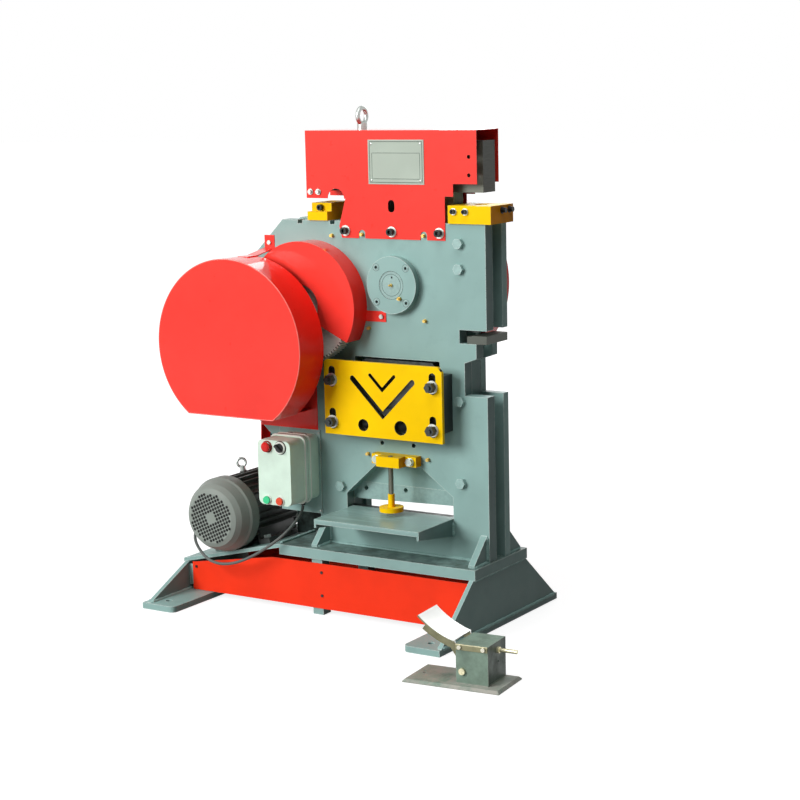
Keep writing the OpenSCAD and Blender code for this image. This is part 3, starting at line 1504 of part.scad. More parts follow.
front_plate();
rear_plate();
plate_spacers();
hex_bolts();
base_plate();
base_legs();
foot_pads();
motor_plate();
toolbox_panel();
sheet_screws();
shear_table();
flat_bed_blade();
hold_down_bracket();
hold_down_screw();
hold_down_pad();
angle_die_block();
angle_guide_plate();
guide_studs();
notch_die();
die_blocks();
socket_screws();
top_cover();
nameplate();
lifting_eyes();
bearing_flange();
shaft_bushes();
flywheel_guard();
gear_guard();
rear_gear_guard();
belt_guard();
grease_nipples();
motor_frame();
motor_cowl();
motor_rotor();
motor_pulley();
terminal_box();
v_belts();
ram();
ram_head();
ram_blades();
eccentric_shaft();
slide_block();
main_gear();
intermediate_shaft();
intermediate_gear();
flywheel_shaft();
flywheel();
flywheel_pulley();
control_box();
control_box_lid();
mount_panel();
emergency_stop();
selector();
start_button();
stop_button();
cable_glands();
motor_cable();
pedal_base();
pedal_fittings();
treadle();
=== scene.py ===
"""Finish, small fittings and studio stage for a mechanical ironworker."""

import json
import math

import bmesh
import bpy
import numpy as np
from mathutils import Matrix, Vector


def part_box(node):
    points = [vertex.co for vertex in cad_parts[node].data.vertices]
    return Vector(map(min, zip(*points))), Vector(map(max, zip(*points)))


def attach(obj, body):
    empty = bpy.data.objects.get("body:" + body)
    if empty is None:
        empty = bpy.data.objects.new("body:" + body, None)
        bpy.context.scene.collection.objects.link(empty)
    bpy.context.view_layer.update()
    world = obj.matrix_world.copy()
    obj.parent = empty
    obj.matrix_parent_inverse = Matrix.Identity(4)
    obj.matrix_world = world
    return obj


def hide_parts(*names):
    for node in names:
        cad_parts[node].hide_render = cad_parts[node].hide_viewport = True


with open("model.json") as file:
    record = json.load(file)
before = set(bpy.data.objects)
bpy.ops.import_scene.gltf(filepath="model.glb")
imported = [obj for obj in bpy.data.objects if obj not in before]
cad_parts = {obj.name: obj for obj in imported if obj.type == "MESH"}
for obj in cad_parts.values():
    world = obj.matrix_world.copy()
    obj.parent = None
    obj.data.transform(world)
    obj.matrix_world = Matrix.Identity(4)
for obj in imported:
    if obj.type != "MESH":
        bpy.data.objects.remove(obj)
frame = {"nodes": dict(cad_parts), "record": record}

bl_info = {
    "name": "Ironworker finish",
    "version": (1, 0, 0),
    "blender": (4, 5, 0),
    "location": "View3D > Sidebar > Ironworker",
    "description": "Paint, fittings and stage for a mechanical ironworker",
    "category": "Object",
}

MM = 0.001
NODES = frame["nodes"]
SLOT_OF = {row["node"]: row["material_slot"] for row in frame["record"]["subparts"]}
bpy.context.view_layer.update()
ROOT = "frame"
FORWARD = (0, -1, 0)
UP = (0, 0, 1)
# A direction that no swept path follows, for the tubes' cross directions
SKEW = np.array([0.31, 0.9, 0.17])
# Angle over which two faces of a fitting meet in a sharp edge
SHARP = math.radians(40)


# Surfaces

def quads(rows, columns, wrap_rows=False, wrap_columns=False):
    """Faces of a grid of points: each cell joins a point to the next row and the next column."""
    r = np.arange(rows if wrap_rows else rows - 1)[:, None]
    c = np.arange(columns if wrap_columns else columns - 1)[None, :]
    r2, c2 = (r + 1) % rows, (c + 1) % columns
    return np.stack([r * columns + c, r * columns + c2, r2 * columns + c2, r2 * columns + c], -1).reshape(-1, 4)


def join(parts):
    """Several (points, faces) pairs as one pair, with the face numbers moved along."""
    points, faces, count = [], [], 0
    for p, f in parts:
        points.append(p)
        faces.extend((np.asarray(g) + count).tolist() for g in f)
        count += len(p)
    return np.concatenate(points), faces


def unit(v):
    """Vectors of length one along the last axis."""
    return v / np.maximum(np.linalg.norm(v, axis=-1, keepdims=True), 1e-12)


def across(axis):
    """Two directions square to an axis and to each other."""
    axis = unit(np.asarray(axis, float))
    other = np.array([0.0, 0.0, 1.0]) if abs(axis[2]) < 0.9 else np.array([1.0, 0.0, 0.0])
    u = unit(np.cross(other, axis))
    return u, np.cross(axis, u)


def turned(profile, centre, axis, steps=32):
    """Surface of revolution: each (radius, height) of the profile goes round the axis through centre.
    A profile that begins and ends on the axis gives a closed body; heights rise along the axis."""
    profile = np.asarray(profile, float)
    axis = unit(np.asarray(axis, float))
    u, w = across(axis)
    angle = np.linspace(0, 2 * np.pi, steps, endpoint=False)
    ring = np.cos(angle)[:, None] * u + np.sin(angle)[:, None] * w
    points = (np.asarray(centre, float) + profile[:, None, :1] * ring[None]
              + profile[:, None, 1:2] * axis).reshape(-1, 3)
    return points, quads(len(profile), steps, wrap_columns=True)


def closed_turned(profile, centre, axis, steps=32):
    """A turned body whose first and last rings are closed with one face each."""
    points, faces = turned(profile, centre, axis, steps)
    last = (len(profile) - 1) * steps
    caps = [np.arange(steps)[::-1], last + np.arange(steps)]
    return points, [*faces.tolist(), *[c.tolist() for c in caps]]


def turned_ring(profile, centre, axis, steps=40):
    """A turned ring: the profile is a closed outline off the axis, so the last row joins the first."""
    points, _ = turned(profile, centre, axis, steps)
    return points, quads(len(profile), steps, wrap_rows=True, wrap_columns=True).tolist()


def swept(path, radius, sides=10, closed=False):
    """Round tube: a circle carried along the path, square to it. The radius is one value or one for each point."""
    path = np.asarray(path, float)
    if closed:
        heading = unit(np.roll(path, -1, 0) - np.roll(path, 1, 0))
    else:
        heading = unit(np.gradient(path, axis=0))
    u = unit(np.cross(heading, SKEW))
    w = np.cross(heading, u)
    angle = np.linspace(0, 2 * np.pi, sides, endpoint=False)
    r = np.broadcast_to(np.asarray(radius, float), (len(path),))
    points = (path[:, None] + r[:, None, None] * (np.cos(angle)[None, :, None] * u[:, None]
              + np.sin(angle)[None, :, None] * w[:, None])).reshape(-1, 3)
    faces = quads(len(path), sides, wrap_rows=closed, wrap_columns=True).tolist()
    if not closed:
        last = (len(path) - 1) * sides
        faces += [np.arange(sides)[::-1].tolist(), (last + np.arange(sides)).tolist()]
    return points, faces


def smooth_path(points, count):
    """A Catmull-Rom curve through the points, at evenly spaced places along its length."""
    p = np.asarray(points, float)
    p = np.concatenate([[2 * p[0] - p[1]], p, [2 * p[-1] - p[-2]]])
    steps = 24
    t = np.linspace(0, 1, steps, endpoint=False)[None, :, None]
    a, b, c, d = p[:-3, None], p[1:-2, None], p[2:-1, None], p[3:, None]
    curve = 0.5 * (2 * b + (c - a) * t + (2 * a - 5 * b + 4 * c - d) * t ** 2
                   + (3 * b - a - 3 * c + d) * t ** 3)
    curve = np.concatenate([curve.reshape(-1, 3), p[-2:-1]])
    along = np.concatenate([[0], np.cumsum(np.linalg.norm(np.diff(curve, axis=0), axis=1))])
    even = np.linspace(0, along[-1], count)
    return np.stack([np.interp(even, along, curve[:, k]) for k in range(3)], -1)


def piece(name, parts, finish, body, replaces=(), smooth=True):
    """One mesh object at the origin from (points, faces) parts, with its finish, riding on a body."""
    points, faces = join(parts)
    mesh = bpy.data.meshes.new(name)
    mesh.from_pydata(points.tolist(), [], faces)
    mesh.validate()
    work = bmesh.new()
    work.from_mesh(mesh)
    bmesh.ops.recalc_face_normals(work, faces=work.faces)
    work.to_mesh(mesh)
    work.free()
    if smooth:
        mesh.polygons.foreach_set("use_smooth", np.ones(len(mesh.polygons), bool))
        mesh.set_sharp_from_angle(angle=SHARP)
    obj = bpy.data.objects.new(name, mesh)
    bpy.context.scene.collection.objects.link(obj)
    mesh.materials.append(finish)
    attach(obj, body)
    if replaces:
        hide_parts(*replaces)
    return obj


# Materials

# Stretch of the tool marks on bare metal, marks per metre along each axis
TOOL_GRAIN = (40.0, 40.0, 900.0)


class Tree:
    """Short names for building one material's node tree."""

    def __init__(self, name):
        self.material = bpy.data.materials.new(name)
        self.material.use_nodes = True
        self.tree = self.material.node_tree
        self.shader = self.tree.nodes["Principled BSDF"]
        self.place = self.add("ShaderNodeTexCoord").outputs["Object"]

    def add(self, kind, **values):
        """A new node with the given settings."""
        node = self.tree.nodes.new(kind)
        for key, value in values.items():
            setattr(node, key, value)
        return node

    def link(self, a, b):
        """Joins an output to an input."""
        self.tree.links.new(a, b)

    def noise(self, scale, detail=4.0, rough=0.55, stretch=None):
        """Noise over the object's own coordinates, per metre, drawn out along an axis if stretch is given."""
        node = self.add("ShaderNodeTexNoise")
        node.inputs["Scale"].default_value = scale
        node.inputs["Detail"].default_value = detail
        node.inputs["Roughness"].default_value = rough
        if stretch:
            mapping = self.add("ShaderNodeMapping")
            mapping.inputs["Scale"].default_value = stretch
            self.link(self.place, mapping.inputs["Vector"])
            self.link(mapping.outputs["Vector"], node.inputs["Vector"])
        else:
            self.link(self.place, node.inputs["Vector"])
        return node.outputs["Fac"]

    def span(self, value, low, high, to_low=0.0, to_high=1.0):
        """A value from low to high carried to another span, held at its ends."""
        node = self.add("ShaderNodeMapRange")
        node.inputs["From Min"].default_value = low
        node.inputs["From Max"].default_value = high
        node.inputs["To Min"].default_value = to_low
        node.inputs["To Max"].default_value = to_high
        self.link(value, node.inputs["Value"])
        return node.outputs["Result"]

    def math(self, kind, a, b=None):
        """One step of arithmetic; each value is a number or a socket."""
        node = self.add("ShaderNodeMath", operation=kind)
        for k, v in enumerate((a, b)):
            if v is None:
                continue
            if isinstance(v, (int, float)):
                node.inputs[k].default_value = v
            else:
                self.link(v, node.inputs[k])
        return node.outputs["Value"]

    def blend(self, share, a, b):
        """Colour a to colour b by share; a colour is a tuple or a socket."""
        node = self.add("ShaderNodeMix", data_type="RGBA")
        self.link(share, node.inputs[0])
        for k, v in ((6, a), (7, b)):
            if isinstance(v, tuple):
                node.inputs[k].default_value = (*v, 1.0)
            else:
                self.link(v, node.inputs[k])
        return node.outputs[2]

    def edges(self, radius):
        """Share for edge wear and painted edge highlights: near one where the surface turns a corner within the
        radius.
        """
        bevel = self.add("ShaderNodeBevel", samples=4)
        bevel.inputs["Radius"].default_value = radius
        geometry = self.add("ShaderNodeNewGeometry")
        dot = self.add("ShaderNodeVectorMath", operation="DOT_PRODUCT")
        self.link(bevel.outputs["Normal"], dot.inputs[0])
        self.link(geometry.outputs["Normal"], dot.inputs[1])
        return self.span(dot.outputs["Value"], 0.99, 0.8)

    def axis(self, name):
        """One of the object's own coordinates."""
        split = self.add("ShaderNodeSeparateXYZ")
        self.link(self.place, split.inputs[0])
        return split.outputs[name]

    def facing(self, name):
        """How far the face looks along one of the object's axes, either way, from zero to one."""
        split = self.add("ShaderNodeSeparateXYZ")
        self.link(self.add("ShaderNodeNewGeometry").outputs["True Normal"], split.inputs[0])
        return self.math("ABSOLUTE", split.outputs[name])

    def within(self, value, low, high):
        """One where the value lies between low and high."""
        return self.math("MULTIPLY", self.math("GREATER_THAN", value, low), self.math("LESS_THAN", value, high))

    def inside(self, box, share=None):
        """One inside a box of (axis, low, high) limits, or the given share there, and zero outside."""
        for axis, low, high in box:
            here = self.within(self.axis(axis), low, high)
            share = here if share is None else self.math("MULTIPLY", share, here)
        return share

    def bump(self, heights, strength=0.3):
        """Bump from (height socket, distance) pairs, one over another."""
        normal = None
        for height, distance in heights:
            node = self.add("ShaderNodeBump")
            node.inputs["Strength"].default_value = strength
            node.inputs["Distance"].default_value = distance
            self.link(height, node.inputs["Height"])
            if normal is not None:
                self.link(normal, node.inputs["Normal"])
            normal = node.outputs["Normal"]
        self.link(normal, self.shader.inputs["Normal"])


def rgb(code):
    """Linear colour from a written hex colour; a colour that is linear already stays as it is."""
    if not isinstance(code, str):
        return tuple(code)
    parts = [int(code[i:i + 2], 16) / 255 for i in (1, 3, 5)]
    return tuple(c / 12.92 if c <= 0.04045 else ((c + 0.055) / 1.055) ** 2.4 for c in parts)


def dimmed(colour, by):
    """A colour made darker or lighter by a factor."""
    return tuple(min(1.0, c * by) for c in colour)


def paint(name, colour, rough=0.4, peel=0.00006, swell=0.0004, wear=0.0012, bare="#8E938F", chipped=(0.42, 0.62),
          dirt=0.35, coat=0.0, mirror=0.1, metal=0.0, cloud=1.0, streaks=0.0, ends=None, dark_patch=None, wall_shading=None,
          sides=None):
    """Sprayed paint: slow drift of tone, orange peel and slower swell in metres, dust in patches, and the bare tone
    along edges worn within a radius, which where it is pale is also a painted highlight along the edges. Cloud
    is how far the roughness drifts, and streaks lie along X. Faces that look along X take the colour or the
    factor ends, a painted shade for their unlit side. The dark patch, (colour, box, least and most share),
    darkens the box in patches. Faces that do not look along Y take the wall tone, (colour, box), inside its box,
    as painted light and shade, and faces that do take the colour sides."""
    t = Tree(name)
    base = rgb(colour)
    drift = t.span(t.noise(6.0, 3.0), 0.35, 0.65)
    shade = t.blend(drift, dimmed(base, 0.93), dimmed(base, 1.05))
    if dirt:
        dust = t.span(t.noise(22.0, 6.0, 0.65), 0.55, 0.8, 0.0, dirt)
        shade = t.blend(dust, shade, dimmed(base, 0.72))
    if streaks:
        rubbed = t.span(t.noise(1.0, 4.0, 0.6, (5.0, 90.0, 90.0)), 0.5, 0.7, 0.0, streaks)
        shade = t.blend(rubbed, shade, dimmed(base, 1.4))
    # Painted shade: faces that look along X take a darker colour for their unlit side
    if ends:
        x_side_shade_tone = rgb(ends) if isinstance(ends, str) else dimmed(base, ends)
        x_side_shade_tone = t.blend(drift, dimmed(x_side_shade_tone, 0.9), dimmed(x_side_shade_tone, 1.05))
        shade = t.blend(t.span(t.facing("X"), 0.6, 0.9), shade, x_side_shade_tone)
    # Darker patches inside a box: painted shade in the rear plate's corner behind the motor, and plain darker
    # patches over the base plate's top
    if dark_patch:
        tone, box, shares = dark_patch
        share = t.inside(box, t.span(t.noise(30.0, 5.0, 0.6), 0.3, 0.65, *shares))
        shade = t.blend(share, shade, rgb(tone))
    # Edge tone along the edges: worn paint, and where the tone is pale also a painted highlight along the edges
    if wear:
        chips = t.span(t.noise(160.0, 5.0, 0.6), *chipped)
        share = t.math("MULTIPLY", t.edges(wear), chips)
        share = t.math("MULTIPLY", share, 0.95)
        shade = t.blend(share, shade, rgb(bare))
    # Painted light and shade on faces that do not look along Y, inside the box
    if wall_shading:
        tone, box = wall_shading
        share = t.inside(box, t.math("LESS_THAN", t.facing("Y"), 0.5))
        shade = t.blend(share, shade, rgb(tone))
    if sides:
        worn = t.span(t.noise(30.0, 5.0, 0.6), 0.35, 0.7)
        shade = t.blend(t.math("GREATER_THAN", t.facing("Y"), 0.7), shade,
                        t.blend(worn, rgb(sides), dimmed(rgb(sides), 0.6)))
    t.link(shade, t.shader.inputs["Base Color"])
    t.shader.inputs["Specular IOR Level"].default_value = mirror
    t.shader.inputs["Metallic"].default_value = metal
    if cloud:
        haze = t.span(t.noise(45.0, 4.0), 0.3, 0.7, rough - 0.07 * cloud, rough + 0.1 * cloud)
        t.link(haze, t.shader.inputs["Roughness"])
    else:
        t.shader.inputs["Roughness"].default_value = rough
    if coat:
        t.link(t.span(t.facing("Z"), 0.35, 0.85, 0.2 * coat, coat), t.shader.inputs["Coat Weight"])
        t.shader.inputs["Coat Roughness"].default_value = 0.08
    t.bump([(t.noise(420.0, 2.0), peel * 6), (t.noise(38.0, 3.0), swell)], 0.35)
    return t.material


def steel(name, colour, rough, metal=1.0, oil=0.3, ends=None, teeth=None):
    """Bare or blackened metal: drawn-out tool grain, oil stains and a little tarnish, with a painted highlight along
    the edges. Faces that look along X take painted shade, darker by the factor ends. Teeth is (middle x, middle z,
    root radius, tip radius) of a gear whose tooth faces take painted shade in the gaps and a painted highlight at
    the tips."""
    t = Tree(name)
    base = rgb(colour)
    lines = t.noise(1.0, 3.0, 0.6, TOOL_GRAIN)
    stain = t.span(t.noise(28.0, 5.0, 0.6), 0.5, 0.75, 0.0, oil)
    shade = t.blend(t.span(lines, 0.3, 0.7), dimmed(base, 0.85), dimmed(base, 1.12))
    shade = t.blend(stain, shade, dimmed(base, 0.45))
    # Painted shade: faces that look along X are darker, for their unlit side
    if ends:
        shade = t.blend(t.span(t.facing("X"), 0.6, 0.9), shade, dimmed(base, ends))
    # Painted shade and highlight on a gear: tooth faces run from dark at the root, where the gaps are shaded, to
    # light at the tips
    if teeth:
        middle_x, middle_z, root, tip = teeth
        dx, dz = t.math("SUBTRACT", t.axis("X"), middle_x), t.math("SUBTRACT", t.axis("Z"), middle_z)
        reach = t.math("SQRT", t.math("ADD", t.math("MULTIPLY", dx, dx), t.math("MULTIPLY", dz, dz)))
        painted_shading = t.blend(t.span(reach, root, tip), dimmed(base, 0.04), dimmed(base, 1.15))
        shade = t.blend(t.math("LESS_THAN", t.facing("Y"), 0.5), shade, painted_shading)
    # Painted highlight: edges within the radius are lighter
    edge_highlight = t.span(t.edges(0.0008), 0.0, 1.0, 0.0, 0.5)
    shade = t.blend(edge_highlight, shade, dimmed(base, 1.6))
    t.link(shade, t.shader.inputs["Base Color"])
    t.shader.inputs["Metallic"].default_value = metal
    t.link(t.span(lines, 0.3, 0.7, rough - 0.08, rough + 0.12), t.shader.inputs["Roughness"])
    t.bump([(lines, 0.0002), (t.noise(300.0, 3.0), 0.0002)], 0.3)
    return t.material


def moulded(name, colour, rough=0.45, grain=700.0):
    """Moulded plastic or rubber: fine even grain and faint colour drift."""
    t = Tree(name)
    base = rgb(colour)
    shade = t.blend(t.span(t.noise(15.0, 4.0), 0.35, 0.65), dimmed(base, 0.92), dimmed(base, 1.05))
    t.link(shade, t.shader.inputs["Base Color"])
    t.shader.inputs["Specular IOR Level"].default_value = 0.3
    t.link(t.span(t.noise(60.0, 4.0), 0.3, 0.7, rough - 0.05, rough + 0.08), t.shader.inputs["Roughness"])
    t.bump([(t.noise(grain, 2.0), 0.0002)], 0.25)
    return t.material


def cast(name, colour):
    """Sand-cast metal: coarse rounded grain with darker pits."""
    t = Tree(name)
    base = rgb(colour)
    pits = t.noise(240.0, 6.0, 0.65)
    t.link(t.blend(t.span(pits, 0.35, 0.65), dimmed(base, 0.7), dimmed(base, 1.15)), t.shader.inputs["Base Color"])
    t.shader.inputs["Metallic"].default_value = 0.5
    t.link(t.span(pits, 0.3, 0.7, 0.75, 0.55), t.shader.inputs["Roughness"])
    t.bump([(pits, 0.0006)], 0.5)
    return t.material


def patchy(name, colour, worn):
    """Thin old enamel: cloudy patches of two tones, rubbed through near the floor and along the edges, and a painted
    shade on the faces above the floor plate that look along X."""
    t = Tree(name)
    base, under = rgb(colour), rgb(worn)
    cloud = t.span(t.noise(26.0, 6.0, 0.6), 0.38, 0.64)
    shade = t.blend(cloud, dimmed(base, 1.12), dimmed(base, 0.74))
    low = t.math("MULTIPLY", t.span(t.axis("Z"), 0.012, 0.007), t.span(t.noise(16.0, 6.0, 0.65), 0.36, 0.56))
    shade = t.blend(low, shade, under)
    rub = t.math("MULTIPLY", t.edges(0.0025), t.span(t.noise(120.0, 5.0, 0.6), 0.4, 0.6))
    shade = t.blend(rub, shade, dimmed(under, 1.25))
    # Painted shade on the faces above the floor plate that look along X
    painted_shading = t.math("MULTIPLY", t.span(t.facing("X"), 0.6, 0.9), t.math("GREATER_THAN", t.axis("Z"), 0.012))
    shade = t.blend(painted_shading, shade, t.blend(cloud, dimmed(base, 0.5), dimmed(base, 0.25)))
    t.link(shade, t.shader.inputs["Base Color"])
    t.shader.inputs["Specular IOR Level"].default_value = 0.25
    t.link(t.span(cloud, 0.0, 1.0, 0.34, 0.55), t.shader.inputs["Roughness"])
    t.bump([(t.noise(320.0, 3.0), 0.0003), (cloud, 0.0003)], 0.4)
    return t.material


def banded(name, colour, bands, rim=None):
    """Screws of one node in several finishes: each band is (colour, metal share, boxes), and its finish shows in
    the boxes of (axis, low, high) limits of the object's own coordinates. Corners take the tone of rim, a painted
    highlight along the edges."""
    t = Tree(name)
    stain = t.span(t.noise(90.0, 5.0, 0.6), 0.4, 0.7)
    base = rgb(colour)
    shade = t.blend(stain, dimmed(base, 1.15), dimmed(base, 0.7))
    plain = metal = 0.85
    for band_colour, band_metal, boxes in bands:
        light = rgb(band_colour)
        total = t.inside(boxes[0])
        for box in boxes[1:]:
            total = t.math("MAXIMUM", total, t.inside(box))
        shade = t.blend(total, shade, t.blend(stain, light, dimmed(light, 0.8)))
        drop = t.math("MULTIPLY", total, plain - band_metal)
        metal = t.math("SUBTRACT", metal, drop)
    # Painted highlight: the edges take the pale tone of rim
    if rim:
        shade = t.blend(t.span(t.edges(0.0022), 0.0, 1.0, 0.0, 0.8), shade, rgb(rim))
    t.link(shade, t.shader.inputs["Base Color"])
    t.link(metal, t.shader.inputs["Metallic"])
    t.link(t.span(t.noise(120.0), 0.3, 0.7, 0.3, 0.5), t.shader.inputs["Roughness"])
    t.bump([(t.noise(400.0, 3.0), 0.0002)], 0.3)
    return t.material


# Settings

def size(name, words, value, low, high):
    """A length setting, in metres."""
    return bpy.props.FloatProperty(name=name, description=words, default=value, min=low, max=high,
                                   subtype="DISTANCE", unit="LENGTH")


def tint(name, words, code):
    """A colour setting."""
    return bpy.props.FloatVectorProperty(name=name, description=words, default=rgb(code), min=0.0, max=1.0,
                                         size=3, subtype="COLOR")


class IronworkerPaints(bpy.types.PropertyGroup):
    """Colours of the painted pieces."""
    plates: tint("Frame", "Grey-green paint of the plates and base", "#8FAFAA")
    guards: tint("Guards", "Red paint of the guards", "#F23A30")
    panel: tint("Front panel", "Orange-red paint of the low front panel", "#FA3A1C")
    dies: tint("Dies", "Yellow paint of the die blocks and guide plate", "#F9CA05")
    motor: tint("Motor", "Grey paint of the motor's cowl", "#8D958E")
    box: tint("Control box", "Pale moulding of the control box", "#D4EADA")
    treadle: tint("Treadle", "Off-white paint of the treadle", "#F9FAF7")


class IronworkerSizes(bpy.types.PropertyGroup):
    """Sizes of the fittings that are added to the solids."""
    bead_r: size("Weld bead", "Radius of a weld bead", 4.2 * MM, 1 * MM, 6 * MM)
    edge_r: size("Guard edge", "Radius of the rolled edge of a guard", 1.5 * MM, 0.5 * MM, 3 * MM)
    cable_r: size("Cable", "Radius of the motor cable", 4 * MM, 3 * MM, 5 * MM)
    thread_pitch: size("Thread pitch", "Pitch of the hold-down screw", 3 * MM, 1.5 * MM, 5 * MM)
    grille_pitch: size("Grille pitch", "Distance between the holes of the cowl's grille", 9.5 * MM, 6 * MM, 14 * MM)


def paints():
    """The colours set in the panel."""
    return bpy.context.scene.ironworker_paints


def sizes():
    """The sizes set in the panel."""
    return bpy.context.scene.ironworker_sizes


def gear_circles(node, teeth):
    """Middle x and z, root radius and tip radius of a gear of the frame, from its box and its number of teeth."""
    low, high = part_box(node)
    tip = (high[0] - low[0]) / 2
    module = 2 * tip / (teeth + 2)
    tooth_depth = 2.25 * module
    return (low[0] + high[0]) / 2, (low[2] + high[2]) / 2, tip - tooth_depth, tip


# Places with a finish of their own: (axis, low, high) limits of the solids' coordinates, in metres
# Corner of the rear plate behind the motor, darkened there as painted shade
SHADED_MOTOR_CORNER = [("X", -0.25, -0.045), ("Y", -0.05, 0.046), ("Z", 0.1, 0.34)]
BASE_TOP = [("Z", 0.1825, 0.2)]
# Slots of the guide plate, whose walls take painted shade
SHADED_GUIDE_SLOTS = [("X", 0.0185, 0.3765), ("Z", 0.4, 0.69)]
COVER_WASHERS = [[("Y", -0.0592, -0.0568), ("Z", 1.01, 1.05)], [("Y", -0.0632, -0.0608), ("Z", 1.06, 1.11)]]
FLANGE_SCREWS = [[("Y", -0.0785, -0.0735), ("Z", 0.8, 0.99)]]
PLATE_HEADS = [[("Y", -0.0675, -0.0545), ("Z", 0.3, 1.05)]]
GUIDE_WASHERS = [[("Y", -0.1204, -0.1168), ("Z", 0.4, 0.8)]]
PEDAL_STRIP = [[("X", 0.6, 0.72), ("Y", -0.4915, -0.4775), ("Z", 0.0905, 0.1035)]]
STRIP_HEADS = [[("X", 0.6335, 0.6448), ("Y", -0.52, -0.4868), ("Z", 0.092, 0.104)],
               [("X", 0.6955, 0.7065), ("Y", -0.52, -0.4814), ("Z", 0.092, 0.104)]]
SHAFT_FACE = [[("Y", -0.08, -0.0705)]]
FLAT_BLADE = [[("Z", 0.25, 0.45)]]
PANEL_SCREWS = [[("Y", -0.16, -0.125)]]

# Number of teeth of the gear that shows between the guards
INTERMEDIATE_TEETH = 100

# Worn edges of the grey-green plates, in a pale tone that is also a painted highlight along the edges
PLATE_EDGE_WEAR_AND_HIGHLIGHT = {"wear": 0.0038, "bare": "#CFDDD8", "chipped": (0.26, 0.5)}

MADE = {}


